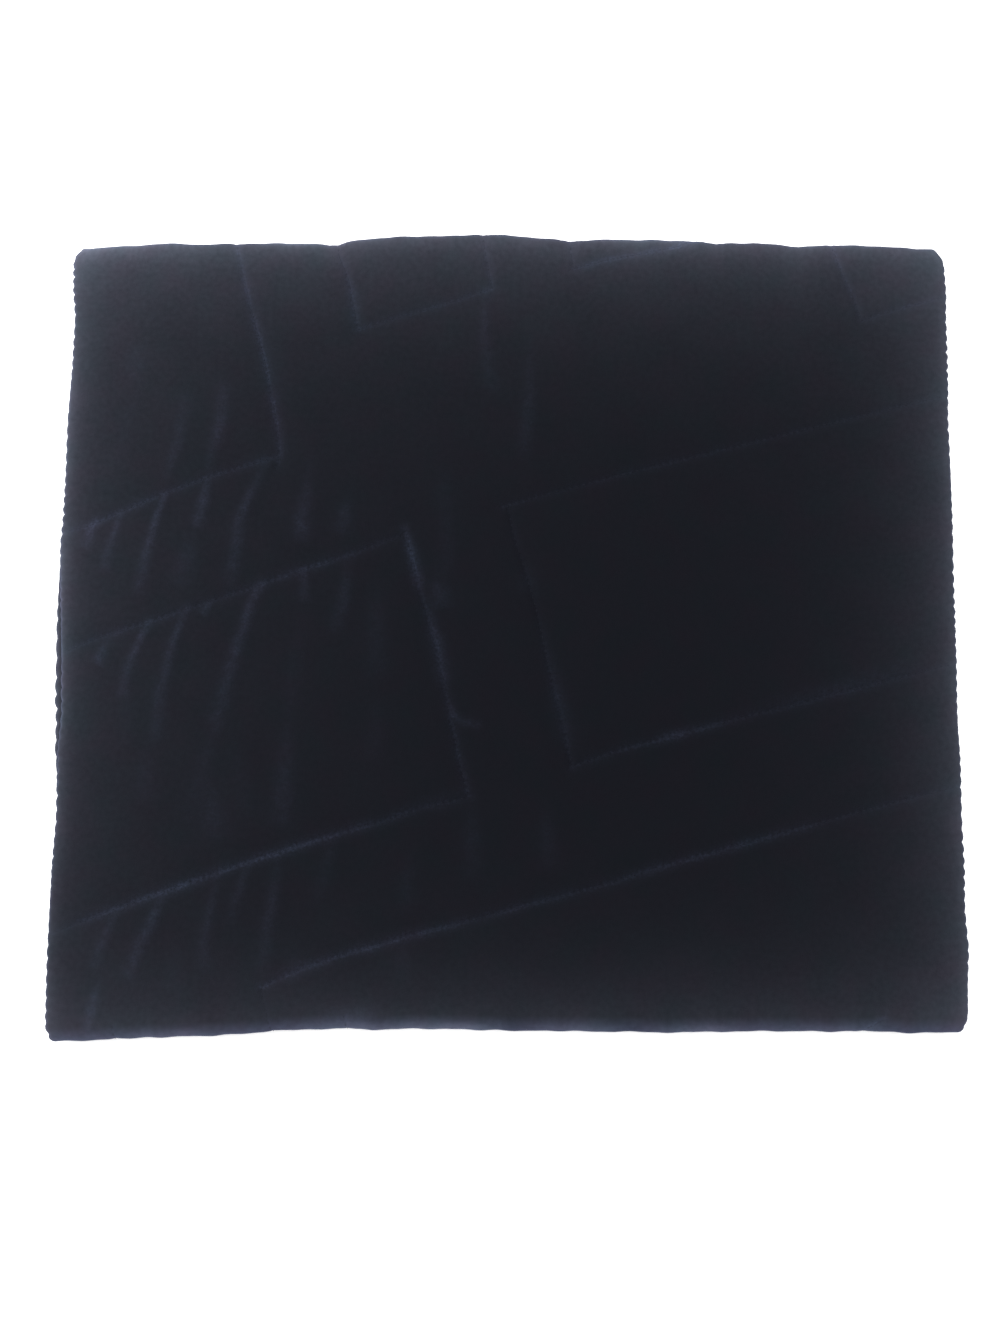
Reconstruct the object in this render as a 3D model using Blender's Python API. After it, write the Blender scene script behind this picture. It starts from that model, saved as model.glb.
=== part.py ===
"""A quilted velvet shawl, folded in half and in half again, lying flat.

Metres, +Z up, +X along the folds, +Y from the near fold to the far fold.
The origin is under the middle of the stack, on the surface that the shawl lies on.

The shawl is one long strip. The outer half of it makes a wall: the lowest leaf, the near fold,
the top leaf and the far fold. The inner half makes the two hidden leaves between them.
Lengths below are in millimetres and are turned into metres where a mesh is made.
"""

import math
from collections import namedtuple

import bpy
import numpy as np
from mathutils import Vector
from mathutils.geometry import delaunay_2d_cdt

MM = 0.001

# Driving sizes

WIDTH = 500.0            # across the strip, hem to hem, along X
DEPTH = 450.0            # from the near fold to the far fold, along Y
LEAF = 4.0               # velvet, wadding and backing together
LOFT = 0.8               # air between two leaves
REST_GAP = 0.3           # between cloth that lies on cloth
TAIL = 12.0              # stretch of the outer wall that turns in under the far fold
HEM_SHORT = 6.0          # how far the free end hems stay behind the far fold
EDGE_SETTLE = 0.08       # share of the height lost at the side hems
END_GAP = 0.8            # between the tail and the inner leaves

# Sizes that follow

PITCH = LEAF + LOFT
HALF_LEAF = LEAF / 2
BOTTOM_MID = HALF_LEAF
THIRD_MID = BOTTOM_MID + PITCH
SECOND_MID = BOTTOM_MID + 2 * PITCH
TOP_MID = BOTTOM_MID + 3 * PITCH
NEAR_RADIUS = (TOP_MID - BOTTOM_MID) / 2
FAR_RADIUS = PITCH / 2
NEAR_CENTRE = -(DEPTH / 2 - NEAR_RADIUS - HALF_LEAF)
FAR_CENTRE = DEPTH / 2 - FAR_RADIUS - HALF_LEAF
NEAR_ARC = math.pi * NEAR_RADIUS
FAR_ARC = math.pi * FAR_RADIUS
HEM_Y = DEPTH / 2 - HEM_SHORT

# Strip length v runs through the outer wall and equals Y on the top leaf
V_TAIL_END = FAR_CENTRE + FAR_ARC + TAIL - HALF_LEAF
V_NEAR_END = NEAR_CENTRE - NEAR_ARC
V_HEM_END = V_NEAR_END - (HEM_Y - HALF_LEAF - NEAR_CENTRE)
X_SIDE = WIDTH / 2 - HALF_LEAF

# Quilting, as lines on the strip: x across and v along it, the same as Y on the top leaf

Seam = namedtuple("Seam", "name points")
SEAMS = (
    Seam("upper left block, lower side", ((-248, 53.5), (-129, 95.7))),
    Seam("upper left block, right side", ((-129, 95.7), (-136, 157.8), (-153, 216), (-160, 240))),
    Seam("left block, upper side", ((-248, -19), (-57.1, 48.1))),
    Seam("left block, right side", ((-57.2, 57.9), (-57.1, 48.1), (-40, -20), (-21.3, -98.9))),
    Seam("left block, lower side", ((-248, -173), (-21.3, -98.9))),
    Seam("near block, upper side", ((-131.8, -201.4), (248, -92.1))),
    Seam("near block, left side", ((-131.8, -201.4), (-123, -238))),
    Seam("right block, lower side", ((35.6, -81.0), (248, -23.6))),
    Seam("right block, left side", ((0.4, 66.7), (21.0, -10.8), (35.6, -81.0))),
    Seam("right block, upper side", ((0.4, 66.7), (248, 131.7))),
    Seam("far middle block, left side", ((-99, 240), (-92.9, 210.8), (-85.0, 171.1))),
    Seam("far middle block, lower side", ((-85.0, 171.1), (-8.8, 192.2))),
    Seam("far middle block, right side", ((-8.8, 192.2), (-12.8, 215.2), (-17, 240))),
    Seam("far right block, lower side", ((44.4, 207.4), (100, 222), (158, 238))),
    Seam("far right block, left side", ((44.4, 207.4), (36, 240))),
    Seam("far corner block, left side", ((184, 240), (190.4, 215.5), (201.9, 177.4))),
    Seam("far corner block, lower side", ((201.9, 177.4), (248, 193.7))),
    Seam("near fold, left", ((-213, -219), (-210, -238))),
    Seam("near fold, middle", ((-88, -219), (-84, -238))),
    Seam("near fold, right", ((199, -219), (203, -238))),
)

# Puckers that fan out from the quilting: height in mm at the seam, fading to nothing at the end

Pucker = namedtuple("Pucker", "height points")
PUCKERS = (
    Pucker(0.6, ((-231, 58), (-233, 54), (-236, 41))),
    Pucker(0.9, ((-216, 61), (-220, 51), (-225, 26))),
    Pucker(1.1, ((-192, 73), (-200, 47), (-206, 12))),
    Pucker(1.0, ((-167, 83), (-170, 68), (-184, 18))),
    Pucker(1.2, ((-136, 92), (-146, 69), (-150, 58), (-156, 15))),
    Pucker(0.8, ((-110, 94), (-115, 60), (-115, 42))),
    Pucker(0.5, ((-89, 73), (-93, 48))),
    Pucker(0.9, ((-168, 89), (-161, 116), (-160, 144))),
    Pucker(0.8, ((-191, 84), (-185, 103), (-181, 136))),
    Pucker(0.6, ((-216, -8), (-224, -14), (-229, -25))),
    Pucker(1.0, ((-198, -1), (-207, -20), (-214, -47))),
    Pucker(1.2, ((-178, 7), (-188, -26), (-193, -74))),
    Pucker(1.2, ((-137, 20), (-150, -15), (-163, -68))),
    Pucker(0.5, ((-114, 28), (-112, 9))),
    Pucker(0.7, ((-88, 37), (-92, 6), (-96, -10))),
    Pucker(0.5, ((-72, 24), (-73, -38))),
    Pucker(0.6, ((-119, -40), (-122, -93), (-124, -121))),
    Pucker(0.9, ((-212, -162), (-218, -175), (-227, -222))),
    Pucker(1.1, ((-187, -154), (-193, -167), (-206, -199))),
    Pucker(0.8, ((-158, -144), (-164, -175), (-164, -197))),
    Pucker(0.6, ((-141, -139), (-151, -171))),
    Pucker(1.0, ((-124, -132), (-130, -172), (-132, -199))),
    Pucker(0.6, ((-94, -121), (-104, -160))),
    Pucker(0.5, ((-53, -126), (-55, -166))),
    Pucker(0.7, ((-11, 190), (-13, 170), (-6, 128))),
    Pucker(0.8, ((13, 176), (13, 133), (9, 90))),
)

# Broad swells of the top leaf

Swell = namedtuple("Swell", "x v radius height")
SWELLS = (
    Swell(-185, 165, 60, 0.5),
    Swell(-120, -40, 80, 0.5),
    Swell(120, 30, 95, 0.8),
    Swell(60, -175, 90, 0.6),
    Swell(-45, 120, 55, -0.4),
    Swell(0, -40, 45, -0.5),
    Swell(150, 175, 60, 0.4),
)

# How far each fold strays from its straight line, outwards positive

FoldPoint = namedtuple("FoldPoint", "x near far")
FOLD_LINE = (
    FoldPoint(-250, 6.0, -3.4),
    FoldPoint(-232, 4.9, -3.4),
    FoldPoint(-214, 4.5, -2.4),
    FoldPoint(-195, 3.3, -1.4),
    FoldPoint(-176, 2.6, -2.0),
    FoldPoint(-158, 2.3, -1.1),
    FoldPoint(-140, 1.0, -1.2),
    FoldPoint(-125, 0.0, -1.4),
    FoldPoint(-111, -1.1, -1.1),
    FoldPoint(-102, -1.4, -2.2),
    FoldPoint(-92, -1.4, 0.2),
    FoldPoint(-74, -0.9, 2.2),
    FoldPoint(-55, -1.7, 3.3),
    FoldPoint(-36, -1.7, 3.3),
    FoldPoint(-18, -1.2, 4.9),
    FoldPoint(5, -0.8, 3.5),
    FoldPoint(29, -0.8, 1.3),
    FoldPoint(38, -0.6, 0.4),
    FoldPoint(50, -0.4, 1.3),
    FoldPoint(90, 0.0, 1.0),
    FoldPoint(112, -0.2, 0.6),
    FoldPoint(122, -0.4, -1.2),
    FoldPoint(142, -0.5, -0.9),
    FoldPoint(158, -0.4, -2.4),
    FoldPoint(168, -0.3, -3.4),
    FoldPoint(187, 0.0, -1.8),
    FoldPoint(200, 0.2, -2.0),
    FoldPoint(215, 0.6, -3.2),
    FoldPoint(238, 0.6, -3.7),
    FoldPoint(250, 0.3, -4.4),
)

# How far each leaf's side hem strays from its straight line, outwards positive

HemPoint = namedtuple("HemPoint", "y left_top left_second left_third left_low "
                                  "right_top right_second right_third right_low")
SIDE_HEMS = (
    HemPoint(-225, -1.5, -2.6, -2.2, -1.8, -2.0, -2.8, -2.4, -2.2),
    HemPoint(-200, -1.0, -2.4, -1.8, -2.0, -1.2, -2.4, -2.0, -2.6),
    HemPoint(-182, -0.9, -2.0, -2.2, -2.2, 0.0, -2.0, -1.6, -1.8),
    HemPoint(-160, -1.2, -1.6, -2.6, -2.6, -1.2, -2.2, -1.8, -2.4),
    HemPoint(-137, -1.6, -2.0, -2.8, -3.0, -0.7, -1.8, -2.4, -2.0),
    HemPoint(-110, -3.0, -3.2, -3.6, -3.8, -1.1, -1.6, -2.2, -2.4),
    HemPoint(-82, -2.8, -1.6, -2.6, -3.4, -0.6, -1.4, -2.6, -2.0),
    HemPoint(-72, -2.4, -0.4, -2.0, -3.0, -0.7, -1.8, -2.2, -2.4),
    HemPoint(-58, -3.6, -0.3, -1.6, -2.6, -1.2, -1.6, -1.8, -2.8),
    HemPoint(-50, -3.9, -0.2, -1.2, -2.2, -1.2, -2.0, -1.6, -2.6),
    HemPoint(-42, -3.4, 0.6, -1.4, -2.4, -1.1, -2.2, -1.4, -2.2),
    HemPoint(-20, -2.8, 0.9, -1.0, -1.8, -0.6, -1.8, -1.2, -2.4),
    HemPoint(-8, -2.1, 1.2, -1.2, -1.6, -0.6, -2.0, -1.4, -2.2),
    HemPoint(4, -1.6, 1.3, -1.4, -1.4, -0.5, -2.2, -1.2, -2.0),
    HemPoint(14, -0.9, 1.2, -1.6, -1.6, -0.7, -2.4, -1.0, -1.8),
    HemPoint(45, 0.2, 0.6, -2.2, -1.8, -0.1, -2.0, -1.6, -1.4),
    HemPoint(60, -0.8, -1.6, -2.4, -2.2, 0.1, -1.8, -1.8, -1.6),
    HemPoint(85, -1.2, -2.0, -2.0, -2.6, 0.2, -1.4, -2.2, -1.8),
    HemPoint(118, -1.3, -2.4, -1.8, -2.4, -0.2, -1.2, -2.4, -1.4),
    HemPoint(135, -2.0, -2.6, -2.6, -3.0, 0.5, -1.0, -2.0, -1.2),
    HemPoint(151, -2.8, -3.2, -3.4, -3.6, 0.7, -0.8, -1.8, -1.6),
    HemPoint(180, -3.4, -3.8, -4.0, -4.2, 0.9, -0.8, -1.6, -2.0),
    HemPoint(196, -2.0, -2.8, -3.0, -3.2, 1.5, -0.6, -1.4, -2.2),
    HemPoint(212, -1.5, -2.2, -2.4, -2.6, 1.0, -0.8, -1.6, -2.0),
    HemPoint(225, -1.8, -2.2, -2.0, -2.2, 0.0, -1.2, -2.0, -1.8),
)

# Shapes of the relief

SHOULDER = 4.5           # half width of the trough along a seam
TROUGH = 1.1             # depth of that trough
TROUGH_STEEP = 0.62      # share of the shoulder at which most of that depth is gone
PUFF = 0.9               # rise of the wadding away from the seams
PUFF_REACH = 16.0        # distance in which it has risen
PUCKER_WIDTH = 4.2       # half width of a pucker at its seam
PUCKER_SPREAD = 1.0      # growth of that half width by its end
PUCKER_START = 0.12      # share of its height right at the seam
PUCKER_RISE = 9.0        # how fast it reaches its height, per length of it
PUCKER_FLANK = 1.6       # where its foot lies, in half widths
CORNER_IN = 5.0          # how far the hems turn in at the ends of the folds
CORNER_REACH = 10.0      # distance from a fold in which they do
WANDER_REACH = 75.0      # how far in from a fold its straying is felt
SIDE_REACH = 45.0        # how far in from a hem its straying is felt
HEM_BAND = 8.0           # from a side hem to the first row of points inside it
HEM_RELIEF = 0.25        # share of the quilting's height left at a side hem
HEM_RELIEF_REACH = 20.0  # distance in which it grows to the whole
LOW_RELIEF = 0.55        # share of the near fold, from below, in which the quilting starts
TAIL_RELIEF = 0.4        # share of the far fold after which the quilting ends

# Steps of the meshes

SEAM_STEP = 9.0
PUCKER_STEP = 9.0
TOP_STEP = 13.0
FOLD_STEP = 15.0
HEM_STEP = 11.0
FLAT_STEP = 40.0
INNER_STEP = 26.0
NEAR_ROWS = 8
FAR_ROWS = 6
SEAM_ROOM = 1.0          # least distance of a seam's points from those before them
SHOULDER_ROOM = 3.4
RIDGE_ROOM = 3.0
FLANK_ROOM = 3.8
HEM_ROOM = 4.0
TOP_ROOM = 7.5
FAR_ROOM = 1.1
NEAR_ROOM = 2.4
PLAIN_X = (-228, -200, -165, -120, -70, -20, 30, 80, 125, 170, 203, 230)


def smooth(share):
    share = np.clip(share, 0.0, 1.0)
    return share * share * (3.0 - 2.0 * share)


def polyline(points, step):
    """Points along a polyline, at most a step apart, its corners kept."""
    out = [np.array(points[0], float)]
    for start, end in zip(points, points[1:]):
        start, end = np.array(start, float), np.array(end, float)
        count = max(1, math.ceil(np.linalg.norm(end - start) / step))
        out += [start + (end - start) * k / count for k in range(1, count + 1)]
    return np.array(out)


def along(points, spots):
    """For each spot, its distance from a polyline and its share of the way along it."""
    points = np.array(points, float)
    lengths = np.linalg.norm(np.diff(points, axis=0), axis=1)
    passed = np.concatenate([[0.0], np.cumsum(lengths)])
    best = np.full(len(spots), 1e9)
    share = np.zeros(len(spots))
    for start, end, before, length in zip(points, points[1:], passed, lengths):
        step = (end - start) / length
        run = np.clip((spots - start) @ step, 0.0, length)
        distance = np.linalg.norm(spots - (start + run[:, None] * step), axis=1)
        nearer = distance < best
        best[nearer] = distance[nearer]
        share[nearer] = (before + run[nearer]) / passed[-1]
    return best, share


def seam_distance(spots):
    return np.min([along(seam.points, spots)[0] for seam in SEAMS], axis=0)


def relief(spots):
    """Height of the quilting over the plain wall at each (x, v)."""
    distance = seam_distance(spots)
    height = PUFF * smooth(distance / PUFF_REACH)
    height -= TROUGH * np.exp(-((distance / (TROUGH_STEEP * SHOULDER)) ** 2))
    for pucker in PUCKERS:
        away, share = along(pucker.points, spots)
        half = PUCKER_WIDTH * (1.0 + PUCKER_SPREAD * share)
        fade = (1.0 - smooth(share)) * smooth(share * PUCKER_RISE + PUCKER_START)
        height += pucker.height * fade * np.exp(-PUCKER_FLANK * (away / half) ** 2)
    for swell in SWELLS:
        away = np.hypot(spots[:, 0] - swell.x, spots[:, 1] - swell.v)
        height += swell.height * (1.0 - smooth(away / (2.0 * swell.radius)))
    hem_fade = np.clip((WIDTH / 2 - np.abs(spots[:, 0])) / HEM_RELIEF_REACH, HEM_RELIEF, 1.0)
    low_fade = smooth((spots[:, 1] - V_NEAR_END) / (LOW_RELIEF * NEAR_ARC))
    tail_fade = 1.0 - smooth((spots[:, 1] - FAR_CENTRE) / (0.5 * FAR_ARC) - 2.0 * TAIL_RELIEF)
    return height * hem_fade * low_fade * tail_fade


def strip_path(v):
    """Middle of the outer wall at strip length v: its y and z, and its outward normal's y and z."""
    far = np.clip((v - FAR_CENTRE) / FAR_RADIUS, 0.0, math.pi)
    near = np.clip((NEAR_CENTRE - v) / NEAR_RADIUS, 0.0, math.pi)
    tail = np.maximum(v - FAR_CENTRE - FAR_ARC, 0.0)
    low = np.maximum(V_NEAR_END - v, 0.0)
    flat = np.clip(v, NEAR_CENTRE, FAR_CENTRE)
    y = flat + FAR_RADIUS * np.sin(far) - tail - NEAR_RADIUS * np.sin(near) + low
    z = TOP_MID - FAR_RADIUS * (1.0 - np.cos(far)) - NEAR_RADIUS * (1.0 - np.cos(near))
    return y, z, np.sin(far) - np.sin(near), np.cos(far) * np.cos(near)


def side_stray(names, x, y):
    """Sideways move of a leaf near its hems, for the left and right columns of SIDE_HEMS."""
    rows = [point.y for point in SIDE_HEMS]
    left = np.interp(y, rows, [getattr(point, names[0]) for point in SIDE_HEMS])
    right = np.interp(y, rows, [getattr(point, names[1]) for point in SIDE_HEMS])
    turned = np.clip((np.abs(y) - DEPTH / 2) / CORNER_REACH + 1.0, 0.0, 1.0)
    weight = smooth((np.abs(x) - (WIDTH / 2 - SIDE_REACH)) / SIDE_REACH)
    return (np.where(x < 0, -left, right) - np.sign(x) * CORNER_IN * turned**2) * weight


def settle(points):
    """Gives points of the straight stack the lie of the real one: wandering folds and lower sides."""
    x, y, z = points.T
    columns = [point.x for point in FOLD_LINE]
    near = np.interp(x, columns, [point.near for point in FOLD_LINE])
    far = np.interp(x, columns, [point.far for point in FOLD_LINE])
    y = y - near * smooth((-y - (DEPTH / 2 - WANDER_REACH)) / WANDER_REACH)
    y = y + far * smooth((y - (DEPTH / 2 - WANDER_REACH)) / WANDER_REACH)
    z = z * (1.0 - EDGE_SETTLE * np.minimum(np.abs(x) / (WIDTH / 2), 1.0) ** 6)
    return np.stack([x, y, z], axis=1)


def on_wall(spots, height):
    """Places (x, v) spots of the outer wall at a height over its middle."""
    x, v = spots[:, 0], spots[:, 1]
    y, z, normal_y, normal_z = strip_path(v)
    top = side_stray(("left_top", "right_top"), x, y)
    low = side_stray(("left_low", "right_low"), x, y)
    lowered = smooth((NEAR_CENTRE - v) / NEAR_ARC)
    x = x + top * (1.0 - lowered) + low * lowered
    return settle(np.stack([x, y + height * normal_y, z + height * normal_z], axis=1))


def fold_rows():
    """Strip lengths of the mesh rows round the two folds."""
    near = [NEAR_CENTRE - NEAR_ARC * k / NEAR_ROWS for k in range(NEAR_ROWS + 1)]
    far = [FAR_CENTRE + FAR_ARC * k / FAR_ROWS for k in range(FAR_ROWS + 1)]
    return near, far


def side_rows():
    """Strip lengths of the points along a side hem, from the free hem to the tail."""
    near, far = fold_rows()
    low = polyline(((V_HEM_END, 0), (near[-1], 0)), FLAT_STEP)[:, 0]
    top = polyline(((near[0], 0), (far[0], 0)), HEM_STEP)[:, 0]
    tail = polyline(((far[-1], 0), (V_TAIL_END, 0)), TAIL)[:, 0]
    return np.concatenate([low[:-1], near[::-1][:-1], top[:-1], far[:-1], tail])


def border():
    """The wall's border as a closed loop of (x, v), anticlockwise, with the outward step at each."""
    rows = side_rows()
    ends = np.array((-X_SIDE,) + PLAIN_X + (X_SIDE,), float)
    spots, steps = [], []
    for v in rows[1:-1]:
        spots.append((X_SIDE, v))
        steps.append((1.0, 0.0))
    for x in ends[::-1]:
        spots.append((x, rows[-1]))
        steps.append((0.7 * np.sign(x), 0.7) if abs(x) == X_SIDE else (0.0, 1.0))
    for v in rows[1:-1][::-1]:
        spots.append((-X_SIDE, v))
        steps.append((-1.0, 0.0))
    for x in ends:
        spots.append((x, rows[0]))
        steps.append((0.7 * np.sign(x), -0.7) if abs(x) == X_SIDE else (0.0, -1.0))
    return np.array(spots), np.array(steps)


# Points round a hem's edge between its two faces, as shares of half the leaf: out, and up

HEM_ROUND = ((0.72, 0.7), (1.0, 0.0), (0.72, -0.7))


class Spots:
    """Points of a flat mesh, each kept only if none before it is too near."""

    def __init__(self, first):
        self.places = [tuple(spot) for spot in first]
        self.lines = []

    def add(self, spots, room):
        """Returns each spot's number, or that of the spot that it fell on, or None."""
        numbers = []
        for spot in spots:
            away = np.linalg.norm(np.array(self.places) - spot, axis=1)
            nearest = int(away.argmin())
            if away[nearest] >= room:
                self.places.append(tuple(spot))
                nearest = len(self.places) - 1
            elif away[nearest] > 0.5:
                nearest = None
            numbers.append(nearest)
        return numbers

    def add_line(self, spots, room):
        numbers = [number for number in self.add(spots, room) if number is not None]
        self.lines += [(a, b) for a, b in zip(numbers, numbers[1:]) if a != b]

    def add_row(self, v):
        """Makes the points at strip length v a line, so that no triangle skips their row."""
        row = sorted((place[0], number) for number, place in enumerate(self.places) if abs(place[1] - v) < 1e-6)
        self.lines += [(a[1], b[1]) for a, b in zip(row, row[1:])]

    def mesh(self):
        """Triangles between the spots, that keep to the lines."""
        flat = [Vector(place) for place in self.places]
        places, _, faces, _, _, _ = delaunay_2d_cdt(flat, self.lines, [], 0, 1e-5)
        places = np.array([tuple(place) for place in places])
        corners = places[np.array(faces)]
        first, second = corners[:, 1] - corners[:, 0], corners[:, 2] - corners[:, 0]
        turn = first[:, 0] * second[:, 1] - first[:, 1] * second[:, 0]
        faces = [face if sign > 0 else face[::-1] for face, sign in zip(faces, turn) if abs(sign) > 1e-3]
        return places, faces


def beside(line, offset):
    """A line's points, moved sideways."""
    step = np.gradient(line, axis=0)
    step /= np.linalg.norm(step, axis=1)[:, None]
    return line + offset * np.stack([-step[:, 1], step[:, 0]], axis=1)


def inside(spots, low, high, margin=2.0):
    keep = (np.abs(spots[:, 0]) < X_SIDE - margin) & (spots[:, 1] > low) & (spots[:, 1] < high)
    return spots[keep]


def clear_of_seams(spots):
    return spots[seam_distance(spots) > RIDGE_ROOM] if len(spots) else spots


def fold_crossings(points, rows):
    """Where a seam crosses the rows of a fold."""
    points = np.array(points, float)
    if points[0, 1] > points[-1, 1]:
        points = points[::-1]
    rows = [v for v in rows if points[0, 1] <= v <= points[-1, 1]]
    return np.array([(np.interp(v, points[:, 1], points[:, 0]), v) for v in sorted(rows)]).reshape(-1, 2)


def face_mesh(loop):
    """The quilted face of the wall: places and triangles over (x, v)."""
    near, far = fold_rows()
    low_edge, high_edge = near[0] + 1.5, far[0] - 1.5
    spots = Spots(loop)
    crossings = [fold_crossings(seam.points, near[:-1] + far[:-1]) for seam in SEAMS]
    lines = [polyline(seam.points, SEAM_STEP) for seam in SEAMS]
    for line, crossing in zip(lines, crossings):
        spots.add_line(inside(line, low_edge, high_edge), SEAM_ROOM)
        for part in (crossing[crossing[:, 1] < 0], crossing[crossing[:, 1] > 0]):
            spots.add_line(part, SEAM_ROOM / 2)
    for line, crossing in zip(lines, crossings):
        for side in (-SHOULDER, SHOULDER):
            spots.add(inside(beside(line, side), low_edge, high_edge), SHOULDER_ROOM)
            spots.add(inside(crossing + (side, 0.0), V_HEM_END, V_TAIL_END), FAR_ROOM)
    for pucker in PUCKERS:
        ridge = polyline(pucker.points, PUCKER_STEP)
        spots.add_line(clear_of_seams(inside(ridge, low_edge, high_edge)), RIDGE_ROOM)
    for pucker in PUCKERS:
        ridge = polyline(pucker.points, PUCKER_STEP)
        for side in (-PUCKER_FLANK * PUCKER_WIDTH, PUCKER_FLANK * PUCKER_WIDTH):
            spots.add(clear_of_seams(inside(beside(ridge, side), low_edge, high_edge)), FLANK_ROOM)
    across = np.linspace(-X_SIDE, X_SIDE, int(WIDTH / FOLD_STEP) + 2)[1:-1]
    for v in near + far:
        spots.add(np.array([(x, v) for x in across]), FAR_ROOM if v > 0 else NEAR_ROOM)
        spots.add_row(v)
    for x in (-X_SIDE + HEM_BAND, X_SIDE - HEM_BAND):
        spots.add(inside(np.array([(x, v) for v in side_rows()]), low_edge, high_edge), HEM_ROOM)
    rows = np.arange(near[0] + 0.8 * TOP_STEP, far[0], TOP_STEP * math.sqrt(0.75))
    for k, v in enumerate(rows):
        shift = TOP_STEP / 2 if k % 2 else 0.0
        row = np.arange(-X_SIDE + shift, X_SIDE, TOP_STEP)
        spots.add(inside(np.array([(x, v) for x in row]), low_edge, high_edge), TOP_ROOM)
    for x in PLAIN_X[::2]:
        low = polyline(((x, V_HEM_END), (x, near[-1])), FLAT_STEP)[1:-1]
        spots.add(low, TOP_ROOM)
    return spots.mesh()


def plain_mesh(loop):
    """The plain inside of the wall, over the same (x, v)."""
    near, far = fold_rows()
    spots = Spots(loop)
    top = polyline(((near[0], 0), (far[0], 0)), FLAT_STEP)[1:-1, 0]
    low = polyline(((V_HEM_END, 0), (near[-1], 0)), FLAT_STEP)[1:-1, 0]
    for v in near + far + list(top) + list(low):
        spots.add(np.array([(x, v) for x in PLAIN_X], float), SEAM_ROOM)
    for v in near + far:
        spots.add_row(v)
    return spots.mesh()


def numbers_of(places, loop):
    """Where each point of the loop is among a mesh's places."""
    return [int(np.linalg.norm(places - spot, axis=1).argmin()) for spot in loop]


def new_object(name, points, faces, material):
    mesh = bpy.data.meshes.new(name)
    mesh.from_pydata((points * MM).tolist(), [], [list(map(int, face)) for face in faces])
    mesh.validate()
    mesh.shade_smooth()
    mesh.materials.append(material)
    obj = bpy.data.objects.new(name, mesh)
    bpy.context.scene.collection.objects.link(obj)
    return obj


def velvet(name, colour, roughness):
    material = bpy.data.materials.new(name)
    material.use_nodes = True
    shader = material.node_tree.nodes["Principled BSDF"]
    shader.inputs["Base Color"].default_value = (*colour, 1.0)
    shader.inputs["Roughness"].default_value = roughness
    shader.inputs["Metallic"].default_value = 0.0
    return material


def outer_leaf(material):
    """The stretch that shows, as one wall: quilted outside, plain inside, with rounded hems."""
    loop, steps = border()
    face_places, face_tris = face_mesh(loop)
    plain_places, plain_tris = plain_mesh(loop)
    points = [on_wall(face_places, HALF_LEAF + relief(face_places))]
    faces = [tuple(face) for face in face_tris]
    rings = [numbers_of(face_places, loop)]
    start = len(face_places)
    for out, height in HEM_ROUND:
        spots = loop + steps * out * HALF_LEAF
        points.append(on_wall(spots, np.full(len(loop), height * HALF_LEAF)))
        rings.append(list(range(start, start + len(loop))))
        start += len(loop)
    points.append(on_wall(plain_places, np.full(len(plain_places), -HALF_LEAF)))
    rings.append([start + number for number in numbers_of(plain_places, loop)])
    faces += [tuple(start + corner for corner in face[::-1]) for face in plain_tris]
    for upper, lower in zip(rings, rings[1:]):
        for k in range(len(loop)):
            after = (k + 1) % len(loop)
            faces.append((upper[k], lower[k], lower[after]))
            faces.append((upper[k], lower[after], upper[after]))
    return new_object("outer_leaf", np.concatenate(points), faces, material)


# A section of the inner leaves at one Y: the share of the full height that the cloth has there,
# and whether the second leaf has ended, so that only the third goes on to its hem.

Section = namedtuple("Section", "y height ended")
INNER_FOLD_DEGREES = (14, 32, 52, 72, 90)
END_HEM = ((1.0, 1.0), (0.29, 0.7), (0.0, 0.25))   # back from the end hem in half leaves, and height


def inner_sections():
    radius = (SECOND_MID - THIRD_MID) / 2 + HALF_LEAF
    sections = [
        Section(NEAR_CENTRE - radius * math.cos(angle), math.sin(angle), 0.0)
        for angle in map(math.radians, INNER_FOLD_DEGREES)
    ]
    cut = FAR_CENTRE - TAIL - END_GAP
    for y in polyline(((NEAR_CENTRE, 0), (cut, 0)), INNER_STEP)[1:, 0]:
        sections.append(Section(y, 1.0, 0.0))
    sections.append(Section(cut + REST_GAP, 1.0, 1.0))
    for back, height in END_HEM:
        sections.append(Section(HEM_Y - back * HALF_LEAF, height, 1.0))
    return sections


# Outline of one leaf's side hem, from its lower face up: how far in, in half leaves, and its height

HEM_OUTLINE = ((0.9, 0.0), (0.28, 0.14), (0.0, 0.5), (0.28, 0.86), (0.8, 1.0))
GROOVE_DEEP = 3.2        # how far in the groove between the two hidden leaves goes
ENDED_INWARD = 0.85      # how far in, in half leaves, the ended second leaf is kept
ENDED_HEIGHT = 0.2       # height kept for the ended second leaf, so that no face is lost


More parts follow.
